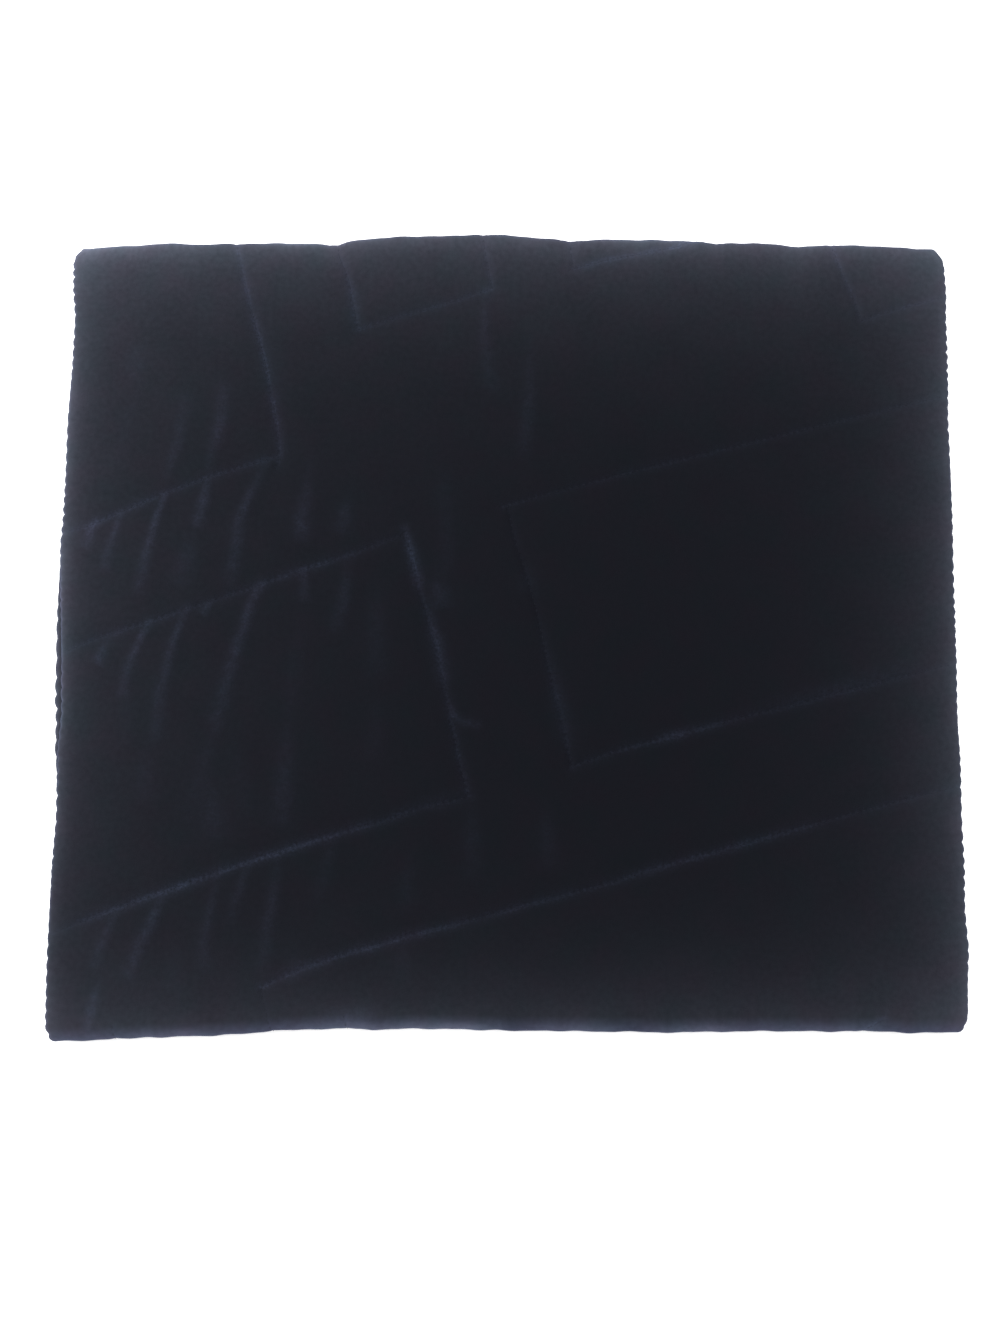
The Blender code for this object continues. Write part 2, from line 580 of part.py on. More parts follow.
def inner_outline(section):
    """One section's closed outline as (x, z, leaf), the leaf named where its hem strays."""
    ended = section.ended
    low = LEAF + REST_GAP
    third_top = THIRD_MID + HALF_LEAF
    second_low = third_top + ENDED_HEIGHT / 2 if ended else SECOND_MID - HALF_LEAF
    second_top = second_low + (ENDED_HEIGHT if ended else LEAF)
    centre = (low + (third_top if ended else second_top)) / 2
    side = [("third", inward * HALF_LEAF, low + share * (third_top - low)) for inward, share in HEM_OUTLINE]
    groove = HALF_LEAF * ENDED_INWARD if ended else GROOVE_DEEP
    side.append(("third", groove, (third_top + second_low) / 2))
    for inward, share in HEM_OUTLINE:
        inward = ENDED_INWARD if ended else inward
        z = second_low + share * (second_top - second_low)
        side.append(("third" if ended else "second", inward * HALF_LEAF, z))
    side = [(leaf, inward, centre + (z - centre) * section.height) for leaf, inward, z in side]
    outline = [(x, side[0][2], None) for x in PLAIN_X]
    outline += [(WIDTH / 2 - inward, z, leaf) for leaf, inward, z in side]
    outline += [(x, side[-1][2], None) for x in PLAIN_X[::-1]]
    outline += [(-WIDTH / 2 + inward, z, leaf) for leaf, inward, z in side[::-1]]
    return outline


def inner_leaves(material):
    """The hidden layers as one solid with rounded folds, parted by a groove at the two side hems."""
    rings = []
    for section in inner_sections():
        outline = inner_outline(section)
        placed = np.array([(x, section.y, z) for x, z, _ in outline])
        for leaf in ("second", "third"):
            chosen = np.array([name == leaf for _, _, name in outline])
            stray = side_stray(("left_" + leaf, "right_" + leaf), placed[:, 0], placed[:, 1])
            placed[chosen, 0] += stray[chosen]
        rings.append(settle(placed))
    size = len(rings[0])
    faces = []
    for here in range(0, size * (len(rings) - 1), size):
        there = here + size
        for a in range(size):
            b = (a + 1) % size
            faces += [(here + a, there + b, here + b), (here + a, there + a, there + b)]
    last = size * (len(rings) - 1)
    for a, b, c in cap_triangles(len(PLAIN_X), size // 2 - len(PLAIN_X)):
        faces += [(a, b, c), (last + c, last + b, last + a)]
    return new_object("inner_leaves", np.concatenate(rings), faces, material)


def cap_triangles(plain, side):
    """Triangles across one end section: between the lower and the upper points, then each side."""
    triangles = []
    upper = plain + side
    for k in range(plain - 1):
        low_a, low_b = k, k + 1
        high_a, high_b = upper + plain - 1 - k, upper + plain - 2 - k
        triangles += [(low_a, low_b, high_b), (low_a, high_b, high_a)]
    right = [plain - 1] + list(range(plain, plain + side)) + [upper]
    left = [upper + plain - 1] + list(range(upper + plain, upper + plain + side)) + [0]
    for outline in (right, left):
        start, end = 0, len(outline) - 1
        while end - start > 1:
            triangles.append((outline[start], outline[start + 1], outline[end]))
            start += 1
            if end - start > 1:
                triangles.append((outline[start], outline[end - 1], outline[end]))
                end -= 1
    return triangles


def main():
    for old in list(bpy.data.objects):
        bpy.data.objects.remove(old, do_unlink=True)
    face = velvet("navy velvet", (0.010, 0.012, 0.021), 0.9)
    folded = velvet("navy velvet, hidden leaves", (0.009, 0.011, 0.018), 0.9)
    outer_leaf(face)
    inner_leaves(folded)


main()
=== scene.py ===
"""The looks of a quilted velvet shawl, folded in half and in half again, lying flat.

The cloth is one long strip. Every point of it has a place (x, v) on the strip: x across it, from hem
to hem, and v along it, which equals Y on the top leaf. A path bends the strip round its three folds,
and a relief raises the quilting. Lengths are in millimetres until a mesh is made.
"""

import math
from collections import namedtuple

import bpy
import numpy as np
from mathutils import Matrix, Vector
from mathutils.geometry import delaunay_2d_cdt


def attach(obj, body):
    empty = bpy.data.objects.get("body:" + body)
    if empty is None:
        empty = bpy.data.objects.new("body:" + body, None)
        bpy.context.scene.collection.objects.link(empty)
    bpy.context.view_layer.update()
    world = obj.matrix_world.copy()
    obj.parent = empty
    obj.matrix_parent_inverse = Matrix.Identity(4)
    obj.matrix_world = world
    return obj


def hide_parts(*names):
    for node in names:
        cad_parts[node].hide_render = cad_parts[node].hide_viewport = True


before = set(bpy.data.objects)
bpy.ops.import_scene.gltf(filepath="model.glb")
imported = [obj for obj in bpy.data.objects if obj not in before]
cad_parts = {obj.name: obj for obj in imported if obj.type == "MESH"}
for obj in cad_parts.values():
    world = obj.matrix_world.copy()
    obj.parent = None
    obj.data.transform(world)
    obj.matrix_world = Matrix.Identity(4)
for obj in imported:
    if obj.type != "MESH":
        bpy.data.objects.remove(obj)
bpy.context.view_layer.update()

MM = 0.001

# Sizes of the folded strip

WIDTH = 500.0
DEPTH = 450.0
LEAF = 4.0
LOFT = 0.8
HEM_SHORT = 6.0
CUT_BACK = 30.0          # from the far fold to where the outside and the inside meet, hidden in the stack
EDGE_SETTLE = 0.08       # share of its height that the stack loses at its sides

PITCH = LEAF + LOFT
HALF_LEAF = LEAF / 2
NEAR_RADIUS = 1.5 * PITCH
FAR_RADIUS = PITCH / 2
NEAR_CENTRE = -(DEPTH / 2 - NEAR_RADIUS - HALF_LEAF)
FAR_CENTRE = DEPTH / 2 - FAR_RADIUS - HALF_LEAF
NEAR_ARC = math.pi * NEAR_RADIUS
FAR_ARC = math.pi * FAR_RADIUS
TOP_LEAF = FAR_CENTRE - NEAR_CENTRE
FREE_LEAF = DEPTH / 2 - HEM_SHORT - HALF_LEAF - NEAR_CENTRE
X_SIDE = WIDTH / 2 - HALF_LEAF

V_LOW_HEM = NEAR_CENTRE - NEAR_ARC - FREE_LEAF
V_NEAR_END = NEAR_CENTRE - NEAR_ARC
V_FAR_END = FAR_CENTRE + FAR_ARC
V_CUT = V_FAR_END + CUT_BACK
V_INNER_FOLD = V_FAR_END + TOP_LEAF
V_INNER_END = V_INNER_FOLD + FAR_ARC
V_THIRD_HEM = V_INNER_END + FREE_LEAF

# The strip's way through the stack. A turn is -1 for clockwise, seen with +Y to the right.

Stretch = namedtuple("Stretch", "start end turn radius")
STRIP = (
    Stretch(V_LOW_HEM - LEAF, V_NEAR_END, 0, 0.0),
    Stretch(V_NEAR_END, NEAR_CENTRE, -1, NEAR_RADIUS),
    Stretch(NEAR_CENTRE, FAR_CENTRE, 0, 0.0),
    Stretch(FAR_CENTRE, V_FAR_END, -1, FAR_RADIUS),
    Stretch(V_FAR_END, V_INNER_FOLD, 0, 0.0),
    Stretch(V_INNER_FOLD, V_INNER_END, 1, FAR_RADIUS),
    Stretch(V_INNER_END, V_THIRD_HEM + LEAF, 0, 0.0),
)

# Quilting lines on the strip: x, v and how bright the painted sheen along the seam is there

SEAMS = (
    ((-248, 52, 0.6), (-233, 56, 1.2), (-218, 63, 0.9), (-192, 74.3, 0.7), (-167, 84, 0.6),
     (-129, 96, 0.5)),
    ((-129.5, 89, 0.2), (-128, 99, 0.9), (-130.5, 117, 0.85), (-136, 145, 0.85), (-140.5, 164, 0.9),
     (-147, 188, 1.1), (-154, 218, 1.5), (-160, 240, 1.5)),
    ((-248, -17, 0.4), (-234, -10.8, 0.6), (-199, 0, 0.7), (-165, 12, 0.4), (-138.7, 20.8, 0.5),
     (-113.7, 30, 0.75), (-85.4, 39.2, 0.55), (-70.4, 46, 0.3), (-57.2, 50, 0.15)),
    ((-57.6, 53.5, 0.5), (-53.6, 39.2, 0.85), (-48.6, 19, 0.5), (-46, 10, 0.35), (-39.1, -13.5, 0.6),
     (-33.2, -44, 0.5), (-29, -63.6, 0.4), (-25.2, -83.2, 0.45), (-21, -98.5, 0.4)),
    ((-248, -172, 0.3), (-238.8, -168.8, 0.45), (-217, -161, 0.9), (-185.2, -150, 1.45),
     (-160, -141, 1.3), (-139.4, -134, 1.1), (-114, -125.5, 1.3), (-82, -116, 0.75), (-68, -112, 0.4),
     (-56.6, -108, 0.5), (-47, -104.5, 0.3), (-21, -98.5, 0.15)),
    ((-133, -202, 0.8), (-112.8, -193.8, 0.9), (-94, -187, 0.95), (-56, -176, 0.9), (-18, -165.8, 0.5),
     (14.5, -157, 0.6), (58.3, -145.3, 0.35), (77.1, -139, 0.65), (119, -127.5, 0.6),
     (150.4, -118.5, 0.65), (173.5, -112, 0.4), (199, -105, 0.3), (216, -100.5, 0.45), (248, -92.3, 0.3)),
    ((-133, -202, 0.15), (-128.4, -222, 0.1), (-123, -238, 0.1)),
    ((35.6, -81.4, 0.4), (51.5, -76, 0.35), (66, -71.4, 0.5), (93.4, -64, 0.75), (112, -59, 0.6),
     (125.8, -55.3, 0.35), (136, -52.6, 0.35), (161.4, -46.5, 0.25), (182, -40.8, 0.35),
     (233.8, -27.3, 0.25), (248, -23.6, 0.25)),
    ((0.4, 67, 0.1), (3.8, 50, 0.15), (8.7, 34, 0.1), (16.7, 5.6, 0.1), (21.6, -18, 0.2),
     (27, -42, 0.3), (30.4, -56, 0.3), (35.6, -81.4, 0.25)),
    ((-2.2, 66.5, 0.3), (19, 72.6, 0.22), (38.8, 78, 0.15), (61.7, 84.2, 0.28), (95.2, 92.7, 0.3),
     (141.2, 104.4, 0.28), (200, 119.5, 0.3), (236.5, 128.9, 0.3), (248, 131.7, 0.2)),
    ((-99, 240, 0.4), (-96, 216, 0.4), (-90.4, 200, 0.6), (-85, 171.3, 0.45)),
    ((-85, 171.1, 0.6), (-61.4, 177.7, 0.45), (-37, 184.5, 0.55), (-24, 188, 0.45), (-8.4, 193, 0.9)),
    ((-8.4, 193, 0.6), (-12.8, 215.2, 0.4), (-17, 240, 0.4)),
    ((38, 207.5, 0.9), (75.4, 215.5, 1.3), (97, 220, 2.0), (158, 238, 1.8)),
    ((38, 207.5, 0.35), (36, 222, 0.3), (35, 240, 0.5)),
    ((184, 240, 1.0), (186.5, 222, 1.0), (193, 204, 0.7), (199, 188, 0.45), (201.9, 177.4, 0.3)),
    ((201.9, 177.4, 0.45), (225, 185.8, 0.6), (240, 191, 0.9), (248, 193.7, 0.4)),
    ((-213, -219, 0.1), (-210, -238, 0.2)),
    ((-88, -219, 0.1), (-84, -238, 0.2)),
    ((202.5, -218.5, 0.9), (193.5, -224, 1.0), (190, -238, 0.4)),
)

# Puckers and puffs beside the quilting, raised in the relief and lit by a painted sheen streak, each
# strongest at the peak share of its length

Pucker = namedtuple("Pucker", "height shine width peak points")
PUCKERS = tuple(Pucker(*row) for row in (
    # Under the upper left block
    (0.6, 1.60, 1.8, 0.2, ((-230.7, 58), (-233.3, 53.6), (-236, 41))),
    (0.9, 1.00, 1.7, 0.2, ((-216.4, 62), (-219.8, 50.7), (-223.3, 38), (-225, 26))),
    (1.1, 1.15, 1.8, 0.2, ((-192.1, 73), (-196.2, 60), (-199.6, 47.3), (-202.2, 35.1), (-206, 12))),
    (1.0, 1.10, 2.0, 0.4, ((-167.5, 83), (-168.5, 78.6), (-170.4, 67.6), (-174.5, 52))),
    (0.5, 0.40, 3.6, 0.4, ((-176, 50), (-179.1, 35.1), (-184, 18))),
    (1.2, 0.75, 2.1, 0.4, ((-135.6, 92), (-139.9, 81.5), (-145.8, 69.3), (-150, 58.3), (-151, 42.6),
     (-156, 15))),
    (0.8, 0.60, 2.6, 0.8, ((-110.3, 96), (-112.2, 74), (-114.8, 60), (-114.6, 42))),
    (0.5, 0.40, 2.8, 0.5, ((-89, 73), (-93, 48))),
    # Inside the upper left block
    (0.9, 0.70, 2.4, 0.4, ((-168.2, 89), (-164.5, 103.2), (-161.4, 115.6), (-160, 144))),
    (0.8, 0.50, 2.5, 0.3, ((-191.5, 84), (-185.4, 103.2), (-183.1, 122.1), (-181, 136))),
    (0.4, 0.35, 3.5, 0.5, ((-211.2, 133), (-209.7, 165))),
    # Inside the lower left block
    (0.6, 1.2, 1.8, 0.95, ((-216.4, -7.5), (-223.8, -13.5), (-229, -25))),
    (1.0, 1.00, 1.8, 0.2, ((-198.2, 0), (-203.1, -8.9), (-207.2, -19.7), (-210.1, -27.1), (-214, -47))),
    (1.2, 0.75, 2.1, 0.2, ((-177.9, 7.5), (-181.1, -1.5), (-185.3, -12.2), (-188, -25.8), (-192, -42),
     (-193.5, -74))),
    (0.4, 0.85, 1.5, 0.3, ((-164.6, 12), (-170, 3))),
    (1.2, 0.80, 2.5, 0.15, ((-136.5, 21), (-141.4, 12.2), (-144.9, 0), (-149.7, -15), (-153.8, -30),
     (-157, -44), (-163, -68))),
    (0.4, 0.50, 2.0, 0.2, ((-113.7, 29), (-112.5, 9))),
    (0.7, 0.45, 2.3, 0.5, ((-88.2, 38), (-89.6, 19.8), (-92.4, 6.1), (-96, -10))),
    (0.5, 0.20, 3.8, 0.5, ((-72.4, 24), (-72.9, -38))),
    (0.6, 0.35, 3.4, 0.75, ((-119, -40), (-120.9, -71), (-122.1, -93), (-124, -121))),
    (0.4, 0.25, 3.5, 0.5, ((-198.4, -67), (-198, -104))),
    (0.4, 0.30, 4.5, 0.7, ((-166.8, -78), (-158, -126))),
    # Under the lower left block
    (0.9, 0.70, 1.8, 0.3, ((-212.4, -162), (-218.5, -175.3), (-224.5, -192))),
    (0.5, 1.1, 2.0, 0.5, ((-220.5, -196), (-227.5, -222))),
    (1.1, 0.95, 2.1, 0.3, ((-186.7, -153), (-192.8, -167.2), (-198.6, -178.5), (-206.5, -199))),
    (0.8, 0.45, 2.1, 0.4, ((-157.6, -143), (-161.7, -164.2), (-163.9, -175.3), (-163.5, -197))),
    (0.6, 0.40, 2.0, 0.2, ((-141.4, -138), (-146.8, -154.7), (-151, -171))),
    (1.0, 0.45, 2.4, 0.4, ((-124.2, -131), (-127.6, -159.4), (-129.9, -172), (-132.5, -199))),
    (0.6, 0.20, 2.4, 0.3, ((-93.8, -120), (-98, -137), (-104, -160))),
    (0.5, 0.15, 3.2, 0.5, ((-52.8, -126), (-55.5, -166))),
    # In the middle
    (0.7, 0.40, 2.4, 0.3, ((-11, 192), (-13, 170.3), (-10.7, 149.4), (-5.5, 128))),
    (0.8, 0.35, 2.3, 0.7, ((13.2, 176), (13.1, 133.3), (11.3, 114.1), (8.5, 90))),
    (0.3, 0.12, 3.4, 0.5, ((-36, 95), (-34, 50))),
    (0.4, 0.18, 3.2, 0.5, ((-33.6, 65), (-34, 22))),
    (0.4, 0.20, 3.2, 0.5, ((20.7, -101), (23.5, -142))),
    (0.3, 0.20, 3.5, 0.5, ((-19.8, -99), (-18.6, -148))),
    (0.4, 0.50, 1.5, 0.3, ((-32, -47.4), (-28.7, -53), (-24.3, -56.4), (-12, -59.5))),
    # Puffed sides of the steep seams
    (0.4, 0.55, 2.2, 0.4, ((-56.6, 54), (-47.8, 17))),
    (0.3, 0.35, 3.0, 0.4, ((-42.5, 6), (-33, -38))),
    (0.3, 0.45, 3.6, 0.5, ((-38.5, 26), (-36, 6))),
    (0.4, 0.12, 3.4, 0.4, ((-125.5, 100), (-128.8, 130), (-134.5, 160), (-141.5, 186), (-147, 206))),
    (0.3, 0.22, 3.4, 0.6, ((20.5, -8), (27.5, -38), (34.5, -74))),
    (0.3, 0.15, 4.0, 0.5, ((13.5, 34), (10.5, 14))),
    (0.3, 0.50, 2.2, 0.5, ((-91, 208), (-85, 172))),
    (0.3, 0.24, 2.8, 0.3, ((-9, 194), (-13, 226))),
    (0.2, 0.45, 4.0, 0.5, ((39.5, 214), (37, 236))),
    # Puffed sides of the long seams
    (0.2, 0.24, 3.4, 0.6, ((118, -54), (200, -33), (240, -22))),
    (0.2, 0.18, 3.2, 0.4, ((-60, -107), (-18, -96))),
    # Raised on the near fold
    (0.3, 0.90, 3.0, 0.5, ((-108, -221), (-92, -220), (-74, -219), (-66, -221))),
    # Long faint ones between the seams
    (0.3, 0.13, 3.6, 0.5, ((-112, 12), (-117, -22), (-120, -57))),
    (0.3, 0.13, 3.2, 0.6, ((-71, -39), (-72, -61), (-75, -83))),
    (0.4, 0.17, 3.2, 0.3, ((-160, -60), (-169, -89), (-178, -117))),
    (0.3, 0.11, 3.6, 0.5, ((-153, -64), (-145, -89), (-142, -115))),
    (0.3, 0.16, 2.8, 0.3, ((-210, -38), (-210, -73))),
    (0.4, 0.17, 2.8, 0.4, ((-207, 138), (-216, 111), (-220, 85))),
    (0.3, 0.13, 3.0, 0.5, ((-178, -176), (-180, -205))),
    (0.3, 0.15, 3.0, 0.5, ((-114, -178), (-116, -203))),
    (0.3, 0.17, 3.0, 0.5, ((-55, -175), (-57, -202))),
))

# Painted sheen added along the edges of the stack: a place along the edge, and how bright

FAR_PAINTED_SHEEN = (
    (-250, 2.0), (-238, 1.5), (-215, 0.9), (-193, 0.4), (-170, 0.0), (-147, 0.0), (-124, 2.2), (-101, 1.6),
    (-79, 1.2), (-56, 0.4), (-33, 0.3), (-10, 0.1), (12, 0.5), (35, 0.0), (58, 1.6), (81, 1.9), (104, 0.9),
    (127, 0.0), (149, 0.1), (172, 1.1), (195, 0.7), (218, 0.1), (250, 0.4),
)
NEAR_PAINTED_SHEEN = (
    (-250, 0.4), (-235, 0.4), (-214, 0.8), (-192, 1.2), (-171, 1.2), (-149, 0.5), (-127, 0.3), (-106, 0.9),
    (-84, 1.7), (-63, 1.4), (-41, 2.0), (-19, 2.0), (2, 0.1), (24, 0.7), (45, 1.1), (67, 0.0), (89, 0.8),
    (110, 1.4), (132, 0.3), (153, 0.6), (175, 0.7), (197, 0.9), (206, 0.2), (218, 0.0), (250, 0.0),
)
LEFT_PAINTED_SHEEN = (
    (-225, 0.4), (-203, 0.3), (-182, 0.1), (-160, 0.1), (-139, 0.3), (-117, 0.6), (-95, 0.5), (-73, 0.5),
    (-50, 0.5), (-28, 0.4), (-6, 0.6), (17, 0.8), (40, 1.1), (64, 0.5), (87, 0.9), (111, 0.9), (135, 0.9),
    (158, 0.5), (183, 0.0), (207, 0.4), (225, 0.6),
)
FOLD_GLOW_REACH = 2.0
HEM_GLOW_REACH = 4.0

# Broad swells of the top leaf

Swell = namedtuple("Swell", "x v radius height")
SWELLS = tuple(Swell(*row) for row in (
    (-185, 165, 60, 0.5), (-120, -40, 80, 0.5), (120, 30, 95, 0.8), (60, -175, 90, 0.6),
    (-45, 120, 55, -0.4), (0, -40, 45, -0.5), (150, 175, 60, 0.4),
))

# How far each fold strays from its straight line, outwards positive

FoldPoint = namedtuple("FoldPoint", "x near far")
FOLD_LINE = tuple(FoldPoint(*row) for row in (
    (-250, 6.0, -3.4), (-232, 4.9, -3.4), (-214, 4.5, -2.4), (-195, 3.3, -1.4), (-176, 2.6, -2.0),
    (-158, 2.3, -1.1), (-140, 1.0, -1.2), (-125, 0.0, -1.4), (-111, -1.1, -1.1), (-102, -1.4, -2.2),
    (-92, -1.4, 0.2), (-74, -0.9, 2.2), (-55, -1.7, 3.3), (-36, -1.7, 3.3), (-18, -1.2, 4.9),
    (5, -0.8, 3.5), (29, -0.8, 1.3), (38, -0.6, 0.4), (50, -0.4, 1.3), (90, 0.0, 1.0), (112, -0.2, 0.6),
    (122, -0.4, -1.2), (142, -0.5, -0.9), (158, -0.4, -2.4), (168, -0.3, -3.4), (187, 0.0, -1.8),
    (200, 0.2, -2.0), (215, 0.6, -3.2), (238, 0.6, -3.7), (250, 0.3, -4.4),
))

# How far each leaf's side hem strays from its straight line, outwards positive

HemPoint = namedtuple("HemPoint", "y left_top left_second left_third left_low "
                                  "right_top right_second right_third right_low")
SIDE_HEMS = tuple(HemPoint(*row) for row in (
    (-225, -1.5, -2.6, -2.2, -1.8, -2.0, -2.8, -2.4, -2.2),
    (-200, -1.0, -2.4, -1.8, -2.0, -1.2, -2.4, -2.0, -2.6),
    (-182, -0.9, -2.0, -2.2, -2.2, 0.0, -2.0, -1.6, -1.8),
    (-160, -1.2, -1.6, -2.6, -2.6, -1.2, -2.2, -1.8, -2.4),
    (-137, -1.6, -2.0, -2.8, -3.0, -0.7, -1.8, -2.4, -2.0),
    (-110, -3.0, -3.2, -3.6, -3.8, -1.1, -1.6, -2.2, -2.4),
    (-82, -2.8, -1.6, -2.6, -3.4, -0.6, -1.4, -2.6, -2.0),
    (-72, -2.4, -0.4, -2.0, -3.0, -0.7, -1.8, -2.2, -2.4),
    (-58, -3.6, -0.3, -1.6, -2.6, -1.2, -1.6, -1.8, -2.8),
    (-50, -3.9, -0.2, -1.2, -2.2, -1.2, -2.0, -1.6, -2.6),
    (-42, -3.4, 0.6, -1.4, -2.4, -1.1, -2.2, -1.4, -2.2),
    (-20, -2.8, 0.9, -1.0, -1.8, -0.6, -1.8, -1.2, -2.4),
    (-8, -2.1, 1.2, -1.2, -1.6, -0.6, -2.0, -1.4, -2.2),
    (4, -1.6, 1.3, -1.4, -1.4, -0.5, -2.2, -1.2, -2.0),
    (14, -0.9, 1.2, -1.6, -1.6, -0.7, -2.4, -1.0, -1.8),
    (45, 0.2, 0.6, -2.2, -1.8, -0.1, -2.0, -1.6, -1.4),
    (60, -0.8, -1.6, -2.4, -2.2, 0.1, -1.8, -1.8, -1.6),
    (85, -1.2, -2.0, -2.0, -2.6, 0.2, -1.4, -2.2, -1.8),
    (118, -1.3, -2.4, -1.8, -2.4, -0.2, -1.2, -2.4, -1.4),
    (135, -2.0, -2.6, -2.6, -3.0, 0.5, -1.0, -2.0, -1.2),
    (151, -2.8, -3.2, -3.4, -3.6, 0.7, -0.8, -1.8, -1.6),
    (180, -3.4, -3.8, -4.0, -4.2, 0.9, -0.8, -1.6, -2.0),
    (196, -2.0, -2.8, -3.0, -3.2, 1.5, -0.6, -1.4, -2.2),
    (212, -1.5, -2.2, -2.4, -2.6, 1.0, -0.8, -1.6, -2.0),
    (225, -1.8, -2.2, -2.0, -2.2, 0.0, -1.2, -2.0, -1.8),
))
NEAR_CORNER_IN = 3.2     # how far the hems turn in at the ends of each fold
FAR_CORNER_IN = 5.8
CORNER_REACH = 10.0
CORNER_PAST = 1.2        # where that stops growing, in the same reach: a little past the fold's line

# Shapes of the relief

TROUGH = 0.9             # soft trough along a seam
TROUGH_REACH = 2.6
CREASE = 0.4             # sharp line in its middle, where the thread pulls
CREASE_REACH = 0.8
PULL = 0.35              # how much deeper the thread pulls at each needle hole
STITCH_PITCH = 3.9
PUFF = 0.9
PUFF_REACH = 16.0
PUCKER_WIDER = 0.9       # how much a pucker widens along its length
PUCKER_RELIEF = 1.5      # the cloth's ridge is wider than its shine
PUCKER_TAIL = 0.35       # share of its strength that a pucker keeps until just before its end
PUCKER_END = 0.15        # share of its length over which it then fades out
PUCKER_START = 0.95      # share of its strength that a pucker starts with,
PUCKER_START_LESS = 1.6  # less this times the place of its peak,
PUCKER_START_RANGE = (0.1, 0.7)     # and kept in this range
RIPPLE = 0.5             # share of the uneven waves that shows
RELIEF_RISE = 0.55       # share of the near fold over which the relief sets in
RELIEF_FALL = 0.5        # share of the far fold over which it ends,
RELIEF_KEPT = 0.8        # after this many such lengths
HEM_RELIEF = 0.3
HEM_RELIEF_REACH = 20.0
UNDER_RELIEF = 0.35      # the side that the stack rests on is pressed flat,
UNDER_LEVEL = 1.2        # as far as what stands higher than this on the top leaf
UNDER_FADE = 25.0
PATTERN_REPEAT = 452.0   # the lowest leaf repeats the top leaf's quilting, this far along the strip
WANDER_REACH = 75.0
SIDE_REACH = 45.0
SCALLOP = 0.85           # how far the side hems swell out between their stitches
SCALLOP_PITCH = 6.4
INNER_SCALLOP_PITCH = 8.8   # on the hidden leaves
SCALLOP_REACH = 5.0
SCALLOP_BLUNT = 0.8      # how blunt they are,
SCALLOP_LEVEL = 0.62     # and their mean, which the hem's line goes through
HEM_SEAM = 0.35          # depth of the seam line round each hem, where face and back are joined
LEAF_WAVE = 0.22         # how far the hidden leaves part and close along the side hems,
LEAF_WAVE_START = 150.0  # from this far off the middle on,
LEAF_WAVE_RISE = 90.0
LEAF_WAVE_CALM = 15.0    # but not this near to a fold
LEAF_WAVE_FADE = 30.0
FOLD_WAVE = 0.2          # small unevenness of the two folds
FOLD_SOFT = 0.6          # share of the quilting's relief that is lost where the cloth turns round a fold
FOLD_SOFT_REACH = 14.0

# Steps of the meshes

HEM_STEP = SCALLOP_PITCH / 4
SEAM_LINES = ((0.6, 1.2), (1.3, 1.3), (2.2, 1.7), (3.4, 2.2), (5.0, 2.8))   # offset, step
RIDGE_LINES = ((1.5, 2.0), (3.0, 2.4), (5.0, 2.8), (7.5, 3.0))
HEM_COLUMNS = (1.2, 2.8, 5.2, 9.0, 16.0)      # in from the border
TOP_STEP = 3.1
TRIANGLE_HEIGHT = math.sqrt(0.75)             # of one with equal sides, as a share of a side
FOLD_STEP = 2.6
PLAIN_STEP = 40.0
BORDER_STEP = 8.0        # across the ends of a stretch
PLAIN_MARGIN = 20.0      # from the hems to the plain points
UNDER_MARGIN = 4.0       # from the border to the underside's points
RIDGE_WIDER = 2.0        # a pucker's lines lie wider apart on the underside than a seam's,
RIDGE_COARSER = 1.6      # with longer steps
UNDER_LINES = ((0.0, 1.8, 0.9), (1.0, 1.8, 0.7), (2.2, 2.4, 1.0), (4.0, 3.4, 1.6))   # offset, step, room
UNDER_STEP = 8.0

# How near to another point of a mesh a new one may lie, in millimetres, or as a share of the step there

SEAM_ROOM = 0.5
BESIDE_ROOM = 0.45       # beside a seam, and as much more as this share of the offset
BESIDE_SHARE = 0.14
CREST_ROOM = 1.3
RIDGE_ROOM = 1.4
COLUMN_ROOM = 0.7        # in the first column of a hem, and in the others this share of their way in
COLUMN_SHARE = 0.6
FOLD_ROOM = 1.2          # in the rows of a fold at most this
FOLD_SHARE = 0.7
TOP_SHARE = 0.62
UNDER_SHARE = 0.6
BACK_SHARE = 0.5
PLAIN_ROOM = 4.0


def smooth(share):
    share = np.clip(share, 0.0, 1.0)
    return share * share * (3.0 - 2.0 * share)


def polyline(points, step):
    """Points along a polyline, at most a step apart, its corners kept."""
    out = [np.array(points[0], float)]
    for start, end in zip(points, points[1:]):
        start, end = np.array(start, float), np.array(end, float)
        count = max(1, math.ceil(np.linalg.norm(end - start) / step))
        out += [start + (end - start) * k / count for k in range(1, count + 1)]
    return np.array(out)


def between(low, high, step):
    count = max(1, math.ceil((high - low) / step))
    return np.linspace(low, high, count + 1)


def beside(line, offset):
    """A line's points, moved sideways."""
    step = np.gradient(line, axis=0)
    step /= np.linalg.norm(step, axis=1)[:, None]
    return line + offset * np.stack([-step[:, 1], step[:, 0]], axis=1)


def passed_lengths(line):
    """Length along a line up to each of its points."""
    return np.concatenate([[0.0], np.cumsum(np.linalg.norm(np.diff(line, axis=0), axis=1))])


def along(points, spots):
    """For each spot: its distance from a polyline, and the length along it to the nearest point."""
    points = np.array(points, float)
    lengths = np.linalg.norm(np.diff(points, axis=0), axis=1)
    passed = np.concatenate([[0.0], np.cumsum(lengths)])
    best = np.full(len(spots), np.inf)
    run_at = np.zeros(len(spots))
    for start, end, before, length in zip(points, points[1:], passed, lengths):
        step = (end - start) / length
        run = np.clip((spots - start) @ step, 0.0, length)
        distance = np.linalg.norm(spots - (start + run[:, None] * step), axis=1)
        nearer = distance < best
        best[nearer] = distance[nearer]
        run_at[nearer] = before + run[nearer]
    return best, run_at, passed[-1]


